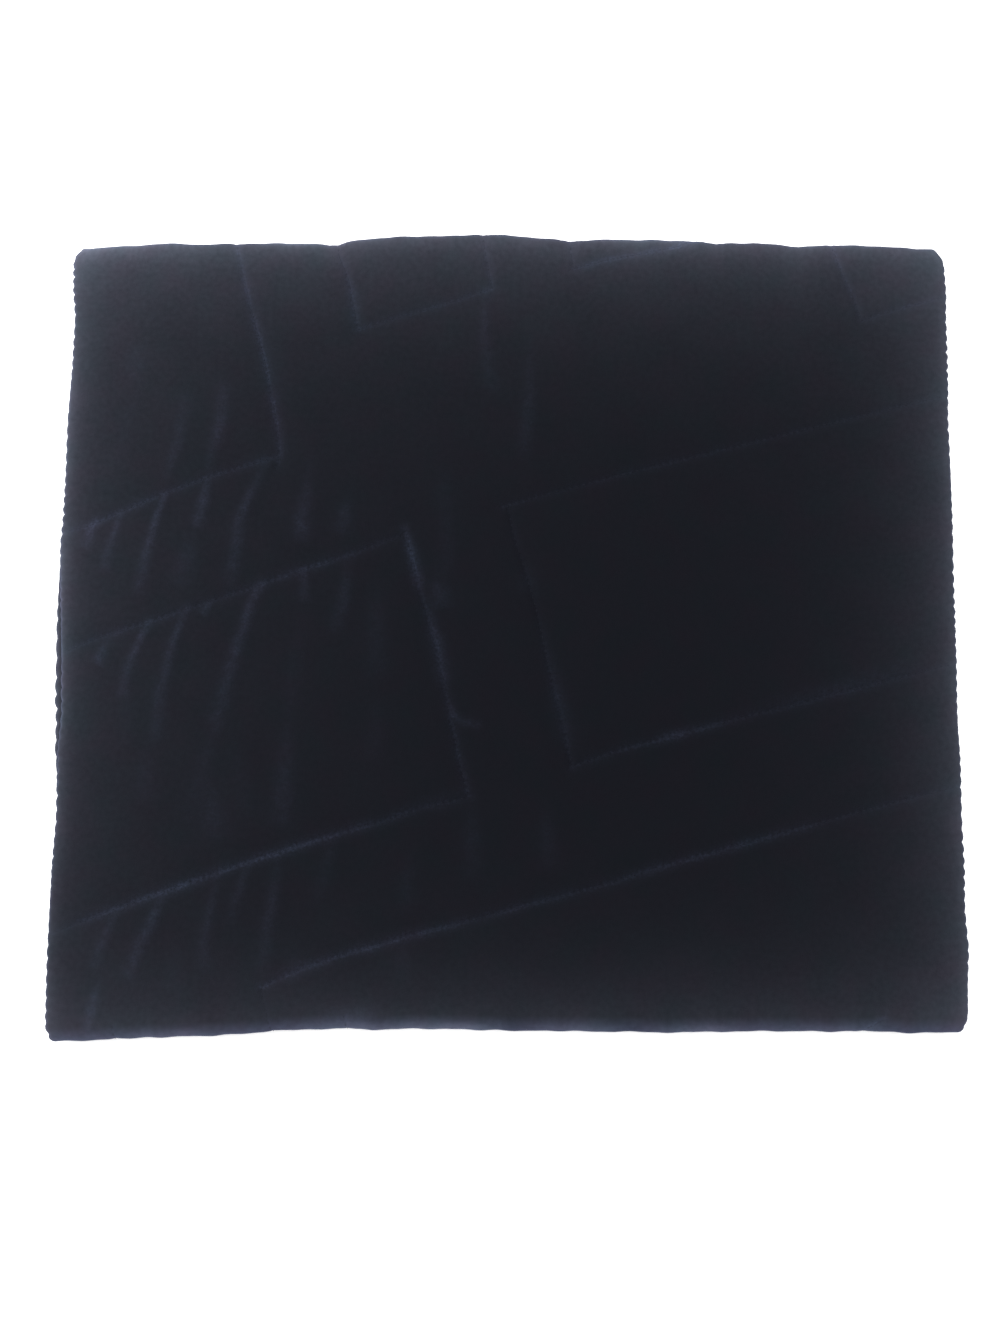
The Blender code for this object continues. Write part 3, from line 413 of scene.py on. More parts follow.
def on_pattern(spots):
    """The spots, those of the lowest leaf moved to the same place of the quilting on the top leaf."""
    v = spots[:, 1]
    return np.stack([spots[:, 0], np.where(v < V_NEAR_END, v + PATTERN_REPEAT, v)], axis=1)


def seam_line(seam):
    return np.array([point[:2] for point in seam], float)


def nearest_seam(spots):
    """Distance to the nearest seam, the stitches passed along it, and its shine there."""
    away = np.full(len(spots), np.inf)
    stitches = np.zeros(len(spots))
    shine = np.zeros(len(spots))
    for seam in SEAMS:
        line = seam_line(seam)
        distance, run, length = along(line, spots)
        nearer = distance < away
        away[nearer] = distance[nearer]
        stitches[nearer] = run[nearer] / length * round(length / STITCH_PITCH)
        shine[nearer] = np.interp(run[nearer], passed_lengths(line), [point[2] for point in seam])
    return away, stitches, shine


def pucker_share(pucker, spots, wider):
    """1 along a pucker's crest at its strongest, fading to its sides and its ends."""
    away, run, length = along(pucker.points, spots)
    share = run / length
    start = np.clip(PUCKER_START - PUCKER_START_LESS * pucker.peak, *PUCKER_START_RANGE)
    rise = start + (1.0 - start) * smooth(share / pucker.peak)
    fall = 1.0 - (1.0 - PUCKER_TAIL) * np.clip((share - pucker.peak) / (1.0 - pucker.peak), 0.0, 1.0)
    fall *= 1.0 - smooth((share - 1.0 + PUCKER_END) / PUCKER_END)
    half = pucker.width * wider * (1.0 + PUCKER_WIDER * share)
    return np.minimum(rise, fall) * np.exp(-((away / half) ** 2))


def ridges(spots):
    """Height of the puckers."""
    return sum(pucker.height * pucker_share(pucker, spots, PUCKER_RELIEF) for pucker in PUCKERS)


def streaks(spots):
    """How bright the painted sheen streaks on the puckers are."""
    return sum(pucker.shine * pucker_share(pucker, spots, 1.0) for pucker in PUCKERS)


def ripple(spots):
    """Small uneven waves of hand-laid cloth, a sum of a few slanting sines."""
    x, v = spots.T
    return (
        0.10 * np.sin(x / 11.0 + 0.6 * np.sin(v / 29.0))
        + 0.08 * np.sin(v / 13.0 + 1.1 * np.sin(x / 37.0) + 0.8)
        + 0.06 * np.sin((x + v) / 7.1 + 2.1)
        + 0.05 * np.sin((x - 1.6 * v) / 5.3 + np.sin(v / 17.0))
    )


def relief(spots):
    """Height of the quilted face over the plain wall at each (x, v)."""
    v = spots[:, 1]
    spots = on_pattern(spots)
    away, stitches, _ = nearest_seam(spots)
    pull = 1.0 - PULL * np.cos(2.0 * math.pi * stitches)
    height = PUFF * smooth(away / PUFF_REACH) - TROUGH * np.exp(-((away / TROUGH_REACH) ** 2))
    height -= CREASE * pull * np.exp(-((away / CREASE_REACH) ** 2))
    turning = smooth((v - FAR_CENTRE) / FOLD_SOFT_REACH + 1.0)
    turning += smooth((NEAR_CENTRE - v) / FOLD_SOFT_REACH + 1.0)
    height *= 1.0 - FOLD_SOFT * turning
    height += ridges(spots) + RIPPLE * ripple(spots)
    for swell in SWELLS:
        distance = np.hypot(spots[:, 0] - swell.x, spots[:, 1] - swell.v)
        height += swell.height * (1.0 - smooth(distance / (2.0 * swell.radius)))
    hem_fade = np.clip((WIDTH / 2 - np.abs(spots[:, 0])) / HEM_RELIEF_REACH, HEM_RELIEF, 1.0)
    low_fade = smooth((v - V_NEAR_END) / (RELIEF_RISE * NEAR_ARC))
    tail_fade = 1.0 - smooth((v - FAR_CENTRE) / (RELIEF_FALL * FAR_ARC) - RELIEF_KEPT)
    under = UNDER_RELIEF * np.minimum(height - UNDER_LEVEL, 0.0) * smooth((V_NEAR_END - v) / UNDER_FADE)
    under *= smooth((v - V_LOW_HEM) / UNDER_FADE)
    return (height * low_fade * tail_fade + under) * hem_fade


def strip_path(v):
    """Middle of the cloth at strip length v: y, z and the face's outward normal's y and z."""
    out = np.zeros((4, len(v)))
    y, z = NEAR_CENTRE + FREE_LEAF + LEAF, HALF_LEAF
    heading = math.pi
    for stretch in STRIP:
        run = np.clip(v, stretch.start, stretch.end) - stretch.start
        here = v >= stretch.start
        whole = stretch.end - stretch.start
        if stretch.turn:
            bend = stretch.turn / stretch.radius
            angle = heading + bend * run
            place_y = y + (np.sin(angle) - math.sin(heading)) / bend
            place_z = z - (np.cos(angle) - math.cos(heading)) / bend
            y = y + (math.sin(heading + bend * whole) - math.sin(heading)) / bend
            z = z - (math.cos(heading + bend * whole) - math.cos(heading)) / bend
            heading = heading + bend * whole
        else:
            angle = np.full(len(v), heading)
            place_y = y + run * math.cos(heading)
            place_z = z + run * math.sin(heading)
            y = y + whole * math.cos(heading)
            z = z + whole * math.sin(heading)
        found = np.array([place_y, place_z, -np.sin(angle), np.cos(angle)])
        out[:, here] = found[:, here]
    return out


def side_stray(x, v, y):
    """Sideways move of each leaf near its hems."""
    rows = [point.y for point in SIDE_HEMS]

    def hem(leaf):
        left = np.interp(y, rows, [getattr(point, "left_" + leaf) for point in SIDE_HEMS])
        right = np.interp(y, rows, [getattr(point, "right_" + leaf) for point in SIDE_HEMS])
        return np.where(x < 0, -left, right)

    to_top = smooth((v - V_NEAR_END) / NEAR_ARC)
    to_second = smooth((v - FAR_CENTRE) / FAR_ARC)
    to_third = smooth((v - V_INNER_FOLD) / FAR_ARC)
    stray = hem("low") * (1 - to_top) + hem("top") * (to_top - to_second)
    stray += hem("second") * (to_second - to_third) + hem("third") * to_third
    turned = np.clip((np.abs(y) - DEPTH / 2) / CORNER_REACH + 1.0, 0.0, CORNER_PAST)
    stray -= np.sign(x) * np.where(y < 0, NEAR_CORNER_IN, FAR_CORNER_IN) * turned ** 2
    return stray * smooth((np.abs(x) - (WIDTH / 2 - SIDE_REACH)) / SIDE_REACH)


def scallop(x, v):
    """Small regular swelling of the side hems between their stitches."""
    uneven = 1.0 + 0.45 * np.sin(v / 23.0 + np.sign(x)) + 0.3 * np.sin(v / 7.7)
    wander = 1.3 * np.sin(v / 29.0 + np.sign(x)) + 0.7 * np.sin(v / 11.3)
    inner = np.maximum(v - V_FAR_END, 0.0)
    turns = (v - inner) / SCALLOP_PITCH + inner / INNER_SCALLOP_PITCH
    wave = np.abs(np.sin(math.pi * turns + wander)) ** SCALLOP_BLUNT - SCALLOP_LEVEL
    weight = smooth(1.0 - (WIDTH / 2 - np.abs(x)) / SCALLOP_REACH)
    return np.sign(x) * SCALLOP * uneven * wave * weight


def leaf_wave(x, v):
    """Slow rise and fall of the hidden leaves near their hems, and none near the folds."""
    near_side = smooth((np.abs(x) - LEAF_WAVE_START) / LEAF_WAVE_RISE)
    second = smooth((v - V_FAR_END - LEAF_WAVE_CALM) / LEAF_WAVE_FADE)
    second *= smooth((V_INNER_FOLD - LEAF_WAVE_CALM - v) / LEAF_WAVE_FADE)
    third = smooth((v - V_INNER_END - LEAF_WAVE_CALM) / LEAF_WAVE_FADE)
    wave_two = np.sin(v / 19.0 + 0.8 * np.sign(x)) + 0.5 * np.sin(v / 8.3)
    wave_three = np.sin(v / 23.0 - 1.1 * np.sign(x)) + 0.5 * np.sin(v / 9.1 + 1.0)
    return LEAF_WAVE / 1.5 * near_side * (second * wave_two + third * wave_three)


def fold_wave(x):
    return FOLD_WAVE * (np.sin(x / 4.3 + 2.0 * np.sin(x / 31.0)) + 0.6 * np.sin(x / 2.3 + 1.3))


def settle(x, y, z):
    """Gives points of the straight stack the lie of the real one: wandering folds and lower sides."""
    columns = [point.x for point in FOLD_LINE]
    near = np.interp(x, columns, [point.near for point in FOLD_LINE]) + fold_wave(x)
    far = np.interp(x, columns, [point.far for point in FOLD_LINE]) + fold_wave(x + 90.0)
    y = y - near * smooth((-y - (DEPTH / 2 - WANDER_REACH)) / WANDER_REACH)
    y = y + far * smooth((y - (DEPTH / 2 - WANDER_REACH)) / WANDER_REACH)
    z = z * (1.0 - EDGE_SETTLE * np.minimum(np.abs(x) / (WIDTH / 2), 1.0) ** 6)
    return np.stack([x, y, z], axis=1)


def on_strip(spots, height):
    """Places (x, v) spots of the strip at a height over the middle of the cloth."""
    x, v = spots[:, 0], spots[:, 1]
    y, z, normal_y, normal_z = strip_path(v)
    moved = x + side_stray(x, v, y) + scallop(x, v)
    return settle(moved, y + height * normal_y, z + height * normal_z + leaf_wave(x, v))


class Spots:
    """Points of a flat mesh, each kept only if none before it is too near."""

    CELL = 3.0
    SAME = 0.3               # nearer than this, two points are taken as one
    MERGE = 1e-5             # the same once more, when the points are joined to triangles
    SLIVER = 1e-4            # a triangle of less than half this area is left out

    def __init__(self, first):
        self.places = []
        self.cells = {}
        self.lines = []
        for spot in first:
            self.keep(spot)

    def keep(self, spot):
        spot = (float(spot[0]), float(spot[1]))
        cell = (int(spot[0] // self.CELL), int(spot[1] // self.CELL))
        self.cells.setdefault(cell, []).append(len(self.places))
        self.places.append(spot)
        return len(self.places) - 1

    def nearest(self, spot):
        column, row = int(spot[0] // self.CELL), int(spot[1] // self.CELL)
        best, number = math.inf, None
        for a in (column - 1, column, column + 1):
            for b in (row - 1, row, row + 1):
                for other in self.cells.get((a, b), ()):
                    place = self.places[other]
                    away = math.hypot(place[0] - spot[0], place[1] - spot[1])
                    if away < best:
                        best, number = away, other
        return best, number

    def add(self, spots, room):
        numbers = []
        for spot in spots:
            away, number = self.nearest(spot)
            if away >= room:
                number = self.keep(spot)
            elif away > self.SAME:
                number = None
            numbers.append(number)
        return numbers

    def add_line(self, spots, room):
        numbers = [number for number in self.add(spots, room) if number is not None]
        self.lines += [(a, b) for a, b in zip(numbers, numbers[1:]) if a != b]

    def mesh(self):
        flat = [Vector(place) for place in self.places]
        places, _, faces, _, _, _ = delaunay_2d_cdt(flat, self.lines, [], 0, self.MERGE)
        places = np.array([tuple(place) for place in places])
        faces = np.array(faces)
        corners = places[faces]
        first, second = corners[:, 1] - corners[:, 0], corners[:, 2] - corners[:, 0]
        turn = first[:, 0] * second[:, 1] - first[:, 1] * second[:, 0]
        faces[turn < 0] = faces[turn < 0][:, ::-1]
        return places, faces[np.abs(turn) > self.SLIVER]


def inside(spots, low, high, margin=1.0):
    keep = (np.abs(spots[:, 0]) < X_SIDE - margin) & (spots[:, 1] > low) & (spots[:, 1] < high)
    return spots[keep]


def fold_bands():
    """The three folds, each with its strip lengths and the step of its rows."""
    return (
        (V_NEAR_END, NEAR_CENTRE, NEAR_ARC / 18),
        (FAR_CENTRE, V_FAR_END, FAR_ARC / 10),
        (V_INNER_FOLD, V_INNER_END, FAR_ARC / 6),
    )


def side_rows(start, end):
    """Strip lengths of the border points along a side hem."""
    marks = [start]
    for low, high, _ in fold_bands():
        marks += [mark for mark in (low, high) if start < mark < end]
    marks.append(end)
    rows = [np.array([start])]
    for low, high in zip(marks, marks[1:]):
        step = HEM_STEP
        for fold_low, fold_high, fold_step in fold_bands():
            if fold_low <= low and high <= fold_high:
                step = min(step, fold_step)
        rows.append(between(low, high, step)[1:])
    return np.concatenate(rows)


def border(start, end):
    """A stretch's border as a closed loop of (x, v), anticlockwise, with the outward step at each."""
    rows = side_rows(start, end)
    across = between(-X_SIDE, X_SIDE, BORDER_STEP)
    spots, steps = [], []
    for v in rows[1:-1]:
        spots.append((X_SIDE, v))
        steps.append((1.0, 0.0))
    for x in across[::-1]:
        spots.append((x, end))
        steps.append((np.sign(x), 1.0) if abs(x) == X_SIDE else (0.0, 1.0))
    for v in rows[1:-1][::-1]:
        spots.append((-X_SIDE, v))
        steps.append((-1.0, 0.0))
    for x in across:
        spots.append((x, start))
        steps.append((np.sign(x), -1.0) if abs(x) == X_SIDE else (0.0, -1.0))
    return np.array(spots), np.array(steps)


def add_hem_columns(spots, start, end, columns):
    """Columns of points along both side hems. From the third on, a column has every second row only."""
    rows = side_rows(start, end)[1:-1]
    for number, inward in enumerate(columns):
        kept = rows[::1 if number < 2 else 2]
        room = COLUMN_SHARE * inward if number else COLUMN_ROOM
        for x in (-X_SIDE + inward, X_SIDE - inward):
            spots.add([(x, v) for v in kept], room)


def add_beside(spots, line, sides, room, low, high, back=0.0):
    """Points along a line, moved to each of its sides and back along the strip."""
    for side in sides:
        spots.add(inside(beside(line, side) - np.array([0.0, back]), low, high), room)


def add_underside(spots):
    """Points along the lowest leaf's shallow quilting and puckers."""
    low, high = V_LOW_HEM + UNDER_MARGIN, V_NEAR_END - UNDER_MARGIN
    for offset, step, room in UNDER_LINES:
        sides = {-offset, offset}
        for seam in SEAMS:
            add_beside(spots, polyline(seam_line(seam), step), sides, room, low, high, PATTERN_REPEAT)
        wide_sides = [RIDGE_WIDER * side for side in sides]
        step, room = RIDGE_COARSER * step, RIDGE_COARSER * room
        for pucker in PUCKERS:
            add_beside(spots, polyline(pucker.points, step), wide_sides, room, low, high, PATTERN_REPEAT)
    row = np.arange(-X_SIDE + UNDER_STEP, X_SIDE - UNDER_MARGIN, UNDER_STEP)
    for v in np.arange(low, high, UNDER_STEP):
        spots.add([(x, v) for x in row], UNDER_SHARE * UNDER_STEP)


def add_quilting(spots, low, high):
    """Lines along the seams, and points on both sides of the seams and puckers of the top leaf."""
    for seam in SEAMS:
        spots.add_line(inside(polyline(seam_line(seam), SEAM_LINES[0][1]), low, high), SEAM_ROOM)
    for offset, step in SEAM_LINES:
        room = BESIDE_ROOM + BESIDE_SHARE * offset
        for seam in SEAMS:
            add_beside(spots, polyline(seam_line(seam), step), (-offset, offset), room, low, high)
    for pucker in PUCKERS:
        spots.add(inside(polyline(pucker.points, RIDGE_LINES[0][1]), low, high), CREST_ROOM)
    for offset, step in RIDGE_LINES:
        for pucker in PUCKERS:
            add_beside(spots, polyline(pucker.points, step), (-offset, offset), RIDGE_ROOM, low, high)


def face_mesh(loop, start, end):
    """The cloth's face: fine over the top leaf and the folds that show, plain elsewhere."""
    spots = Spots(loop)
    add_hem_columns(spots, start, end, HEM_COLUMNS)
    if start < 0.0:
        add_quilting(spots, V_NEAR_END, V_FAR_END)
    for low, high, step in fold_bands():
        if start <= low and high <= end:
            across = between(-X_SIDE, X_SIDE, FOLD_STEP if high < V_INNER_FOLD else PLAIN_STEP)[1:-1]
            for v in between(low, high, step):
                spots.add([(x, v) for x in across], min(FOLD_SHARE * step, FOLD_ROOM))
    if start < 0.0:
        rows = np.arange(NEAR_CENTRE, FAR_CENTRE, TOP_STEP * TRIANGLE_HEIGHT)
        for number, v in enumerate(rows):
            shift = TOP_STEP / 2 if number % 2 else 0.0
            row = np.arange(-X_SIDE + shift, X_SIDE, TOP_STEP)
            spots.add(inside(np.array([(x, v) for x in row]), NEAR_CENTRE, FAR_CENTRE), TOP_SHARE * TOP_STEP)
        add_underside(spots)
    add_plain(spots, start, end)
    return spots.mesh()


def add_plain(spots, start, end):
    """A wide grid of points, for stretches that nothing finer covers."""
    across = between(-X_SIDE + PLAIN_MARGIN, X_SIDE - PLAIN_MARGIN, PLAIN_STEP)
    for v in between(start, end, PLAIN_STEP)[1:-1]:
        spots.add([(x, v) for x in across], PLAIN_ROOM)


def plain_mesh(loop, start, end):
    """The cloth's back, over the same (x, v)."""
    spots = Spots(loop)
    add_hem_columns(spots, start, end, HEM_COLUMNS[1:4:2])
    for low, high, step in fold_bands():
        if start <= low and high <= end:
            for v in between(low, high, step):
                spots.add([(x, v) for x in between(-X_SIDE, X_SIDE, PLAIN_STEP)[1:-1]], BACK_SHARE * step)
    add_plain(spots, start, end)
    return spots.mesh()


def numbers_of(places, loop):
    """Where each point of the loop is among a mesh's places."""
    return [int(np.square(places - spot).sum(axis=1).argmin()) for spot in loop]


HEM_ROUND = tuple(math.radians(degrees) for degrees in (66, 42, 20, 2, -8, -18, -40, -70))
HEM_SEAM_RING = 4        # of these, the one where face and back are joined
HEM_FACE_LIFT = -0.5     # down to here the hem's roll counts as the face, and below it as the roll
HEM_FREE, HEM_CUT = 1.0, 0.0
FACE, ROLL, BACK = 0.0, 0.5, 1.0


def hem_steps(loop, steps, start, end, start_round, end_round):
    """The border's outward steps, none across an end that is cut, and shortened at the corners."""
    scale = np.ones((len(loop), 2))
    at_start, at_end = loop[:, 1] == start, loop[:, 1] == end
    scale[:, 1] = np.where(at_start, start_round, np.where(at_end, end_round, 1.0))
    steps = steps * scale
    diagonal = (np.abs(steps) > 0.5).all(axis=1)
    steps[diagonal] *= math.sqrt(0.5)
    return steps


def ring_faces(rings):
    """Triangles between each ring of points and the next."""
    faces = []
    for upper, lower in zip(rings, rings[1:]):
        upper, lower = np.array(upper), np.array(lower)
        upper_next, lower_next = np.roll(upper, -1), np.roll(lower, -1)
        faces.append(np.stack([upper, lower, lower_next], axis=1))
        faces.append(np.stack([upper, lower_next, upper_next], axis=1))
    return faces


def cloth(name, start, end, start_round, end_round):
    """A closed stretch of the strip: its face, the roll of its hems and its back."""
    loop, steps = border(start, end)
    steps = hem_steps(loop, steps, start, end, start_round, end_round)
    face_places, face_tris = face_mesh(loop, start, end)
    back_places, back_tris = plain_mesh(loop, start, end)
    flat = [face_places]
    heights = [HALF_LEAF + relief(face_places)]
    insides = [np.full(len(face_places), FACE)]
    rings = [numbers_of(face_places, loop)]
    count = len(face_places)
    edge = relief(loop)
    for ring, angle in enumerate(HEM_ROUND):
        lift = math.sin(angle)
        out = HALF_LEAF * math.cos(angle) - (HEM_SEAM if ring == HEM_SEAM_RING else 0.0)
        flat.append(loop + steps * out)
        heights.append(HALF_LEAF * lift + edge * max(lift, 0.0))
        insides.append(np.full(len(loop), FACE if lift > HEM_FACE_LIFT else ROLL))
        rings.append(list(range(count, count + len(loop))))
        count += len(loop)
    flat.append(back_places)
    heights.append(np.full(len(back_places), -HALF_LEAF))
    insides.append(np.full(len(back_places), BACK))
    rings.append([count + number for number in numbers_of(back_places, loop)])
    faces = np.concatenate([face_tris, back_tris[:, ::-1] + count] + ring_faces(rings))
    flat, heights = np.concatenate(flat), np.concatenate(heights)
    mesh = bpy.data.meshes.new(name)
    mesh.from_pydata((on_strip(flat, heights) * MM).tolist(), [], faces.tolist())
    mesh.validate()
    mesh.shade_smooth()
    keep_attributes(mesh, flat, heights, np.concatenate(insides))
    return placed(mesh)


def placed(data):
    """A new object in the scene, named as its data."""
    obj = bpy.data.objects.new(data.name, data)
    bpy.context.scene.collection.objects.link(obj)
    return obj


def edge_painted_sheen(x, y, on_top=1.0):
    """How bright the painted sheen is beside each edge of the stack; at the left only on the top leaf."""
    edges = (
        (FAR_PAINTED_SHEEN, x, DEPTH / 2 - y, FOLD_GLOW_REACH),
        (NEAR_PAINTED_SHEEN, x, DEPTH / 2 + y, FOLD_GLOW_REACH),
        (LEFT_PAINTED_SHEEN, y, WIDTH / 2 + x, HEM_GLOW_REACH),
    )
    glow = np.zeros(len(x))
    for table, place, away, reach in edges:
        places, shines = np.array(table).T
        share = on_top if table is LEFT_PAINTED_SHEEN else 1.0
        glow += share * np.interp(place, places, shines) * np.exp(-np.maximum(away, 0.0) / reach)
    return glow


NO_SEAM = 99.0           # stands for a seam's distance where none shows


def keep_attributes(mesh, flat, heights, insides):
    """Stores what the velvet's finish follows: its place on the strip, the quilting, the puckers and the
    painted sheen.
    """
    y, _, normal_y, _ = strip_path(flat[:, 1])
    stack_y = y + heights * normal_y
    pattern = on_pattern(flat)
    away, stitches, shine = nearest_seam(pattern)
    shows = (insides < ROLL) & (flat[:, 1] < V_FAR_END)
    on_top = (flat[:, 1] > V_NEAR_END) & (flat[:, 1] < V_FAR_END)
    values = {
        "seam_away": np.where(shows, away, NO_SEAM),
        "stitches": stitches,
        # The shine, streak and edge values are strengths of painted sheen
        "seam_shine": shine,
        "streak": np.where(shows, streaks(pattern), 0.0),
        "stack_y": stack_y * MM,
        "edge_painted_sheen": edge_painted_sheen(flat[:, 0], stack_y, on_top),
    }
    keep_numbers(mesh, values)
    corners = np.empty(len(mesh.loops), np.int32)
    mesh.loops.foreach_get("vertex_index", corners)
    layer = mesh.uv_layers.new(name="strip")
    layer.data.foreach_set("uv", (flat[corners] * MM).astype(np.float32).ravel())


def keep_numbers(mesh, values):
    for name, numbers in values.items():
        layer = mesh.attributes.new(name, "FLOAT", "POINT")
        layer.data.foreach_set("value", np.asarray(numbers, np.float32))


# Node helpers

class Value:
    """A number in a node tree. Each sum, product or function of it adds a node."""

    def __init__(self, tree, socket):
        self.tree = tree
        self.socket = socket

    def maths(self, operation, *others, clamp=False):
        inputs = dict(enumerate((self, *others)))
        node = add_node(self.tree, "ShaderNodeMath", inputs, operation=operation, use_clamp=clamp)
        return Value(self.tree, node.outputs[0])

    def __add__(self, other):
        return self.maths("ADD", other)

    def __sub__(self, other):
        return self.maths("SUBTRACT", other)

    def __rsub__(self, other):
        return self.maths("MULTIPLY_ADD", -1.0, other)

    def __mul__(self, other):
        return self.maths("MULTIPLY", other)

    def __truediv__(self, other):
        return self.maths("DIVIDE", other)

    def clamped(self):
        """The same number, kept between 0 and 1."""
        return self.maths("ADD", 0.0, clamp=True)


def plug(tree, value, socket):
    """Feeds an input with a value or another socket, or sets it to a constant."""
    if isinstance(value, Value):
        value = value.socket
    if isinstance(value, bpy.types.NodeSocket):
        tree.links.new(value, socket)
    else:
        socket.default_value = value


def add_node(tree, kind, inputs=None, **settings):
    node = tree.nodes.new(kind)
    for key, value in settings.items():
        setattr(node, key, value)
    for key, value in (inputs or {}).items():
        plug(tree, value, node.inputs[key])
    return node


def bell(value, reach):
    """1 where the value is 0, fading smoothly over the reach."""
    share = value / reach
    return (share * share * -1.0).maths("EXPONENT")


def fading(value, reach):
    """1 where the value is 0, fading exponentially over the reach."""
    return (value * -1.0 / reach).maths("EXPONENT")


def attribute(tree, name):
    return Value(tree, add_node(tree, "ShaderNodeAttribute", attribute_name=name).outputs["Fac"])


def strip_place(tree):
    return add_node(tree, "ShaderNodeUVMap", uv_map="strip").outputs["UV"]


def noise(tree, place, scale, detail):
    node = add_node(tree, "ShaderNodeTexNoise", {"Vector": place, "Scale": scale, "Detail": detail})
    return Value(tree, node.outputs["Fac"])


def new_group(name, inputs, outputs):
    tree = bpy.data.node_groups.new(name, "ShaderNodeTree")
    for title, value in inputs:
        socket = tree.interface.new_socket(title, in_out="INPUT", socket_type="NodeSocketFloat")
        socket.default_value = value
    for title in outputs:
        tree.interface.new_socket(title, in_out="OUTPUT", socket_type="NodeSocketFloat")
    return tree, tree.nodes.new("NodeGroupInput").outputs, tree.nodes.new("NodeGroupOutput").inputs


def pile_group():
    """Velvet pile: where the nap leans, its grain, and a drift between a warmer and a cooler navy."""
    tree, given, out = new_group(
        "velvet pile",
        (("Tufts per Metre", 1400.0), ("Lean Scale", 330.0), ("Hue Scale", 48.0), ("Hue Contrast", 2.4)),
        ("Lean", "Tufts", "Hue"),
    )
    place = strip_place(tree)
    fine = noise(tree, place, given["Lean Scale"], 3.0)
    broad = noise(tree, place, 34.0, 3.0)
    drift = noise(tree, place, given["Hue Scale"], 4.0) - 0.5
    plug(tree, fine * 0.6 + broad * 0.4, out["Lean"])
    plug(tree, noise(tree, place, given["Tufts per Metre"], 2.0), out["Tufts"])
    plug(tree, (drift * given["Hue Contrast"] + 0.5).clamped(), out["Hue"])
    return tree


def painted_sheen_group():
    """Painted sheen: frayed lines along the seams, and grainy streaks on the puckers."""
    tree, given, out = new_group(
        "painted nap sheen",
        (("Core Width", 1.3), ("Fuzz Width", 3.4), ("Fuzz Share", 0.5)),
        ("Line", "Streak"),
    )
    place = strip_place(tree)
    away = attribute(tree, "seam_away")
    frayed = noise(tree, place, 330.0, 3.0) * 3.8 - 1.9
    beads = (attribute(tree, "stitches") * (2.0 * math.pi)).maths("COSINE") * 0.2 + 0.8
    patches = (noise(tree, place, 95.0, 4.0) * 4.0 - 1.1).clamped()
    grain = noise(tree, place, 700.0, 2.0) * 3.0 - 0.5
    thinner = noise(tree, place, 60.0, 3.0) * 2.6 - 0.3
    broken = noise(tree, place, 210.0, 4.0) * 2.4 - 0.2
    core = bell(away + frayed, given["Core Width"]) * beads * (patches * grain)
    fuzz = bell(away, given["Fuzz Width"]) * given["Fuzz Share"] * (thinner * grain)
    plug(tree, (core + fuzz) * attribute(tree, "seam_shine"), out["Line"])
    plug(tree, attribute(tree, "streak") * (broken * (grain * 0.8 + 0.2)), out["Streak"])
    return tree


def edge_distances(tree):
    """How far each point is, in metres, from the stack's left and right hems and its near and far folds."""
    across = Value(tree, add_node(tree, "ShaderNodeSeparateXYZ", {0: strip_place(tree)}).outputs["X"])
    depth = attribute(tree, "stack_y")
    half_width, half_depth = WIDTH / 2 * MM, DEPTH / 2 * MM
    return across + half_width, half_width - across, depth + half_depth, half_depth - depth


def painted_edges_group():
    """Painted light: lighter towards the edges of the stack, its far left corner and its left side, and a
    painted sheen rim where the cloth turns down.
    """
    tree, given, out = new_group(
        "painted edge light",
        (("Left", 0.40), ("Right", 0.64), ("Far", 0.82), ("Near", 0.39), ("Far Left Corner", 0.35),
         ("Near Left", 0.45), ("Left Drift", 0.32), ("Right Drift", 0.19), ("Far Drift", 0.10),
         ("Near Drift", 0.04), ("Side Rim", 0.8), ("Far Rim", 1.1), ("Corner Rim", 1.3)),
        ("Edge", "Rim"),
    )
    left_away, right_away, near_away, far_away = edge_distances(tree)
    far_share = (near_away / (DEPTH * MM)).clamped()
    right_share = (left_away / (WIDTH * MM)).clamped()
    left_share = 1.0 - right_share
    left_fading, far_fading = fading(left_away, 0.020), fading(far_away, 0.031)
    # Each part adds painted light: near each edge and corner, in broad drifts in from the sides, strongest at
    # the left, and in thin sheen rims at the very edges
    parts = {
        "Left": left_fading * (far_share * 0.70 + 0.35),
        "Right": fading(right_away, 0.017) * (far_share * 0.25 + 0.82),
        "Far": far_fading,
        "Near": fading(near_away, 0.025) * (right_share * 0.75 + 0.55),
        "Far Left Corner": left_fading * far_fading,
        "Near Left": fading(near_away, 0.016) * (left_share * left_share),
        "Left Drift": fading(left_away, 0.110) * (far_share * 0.6 + 0.7),
        "Right Drift": fading(right_away, 0.060),
        "Far Drift": fading(far_away, 0.110),
        "Near Drift": fading(near_away, 0.090) * right_share,
        "Side Rim": fading(left_away, 0.0025) + fading(right_away, 0.0025),
        "Far Rim": fading(far_away, 0.0060),
        "Corner Rim": fading(left_away, 0.060) * fading(far_away, 0.006),
    }
    edge = attribute(tree, "edge_painted_sheen")
    for title, amount in parts.items():
        edge = edge + amount * given[title]
    plug(tree, edge, out["Edge"])
    # The rim is a painted sheen, where the surface turns away from up, near the outer edges
    normal = add_node(tree, "ShaderNodeNewGeometry").outputs["Normal"]
    level = Value(tree, add_node(tree, "ShaderNodeSeparateXYZ", {0: normal}).outputs["Z"]).maths("ABSOLUTE")
    turned = ((0.97 - level) / 0.38).clamped()
    upright = ((0.5 - level) / 0.5).clamped()
    nearest_side = left_away.maths("MINIMUM", right_away)
    nearest = nearest_side.maths("MINIMUM", near_away.maths("MINIMUM", far_away))
    outer = ((0.016 - nearest) / 0.008).clamped()
    plug(tree, (turned + upright) * outer, out["Rim"])
    return tree


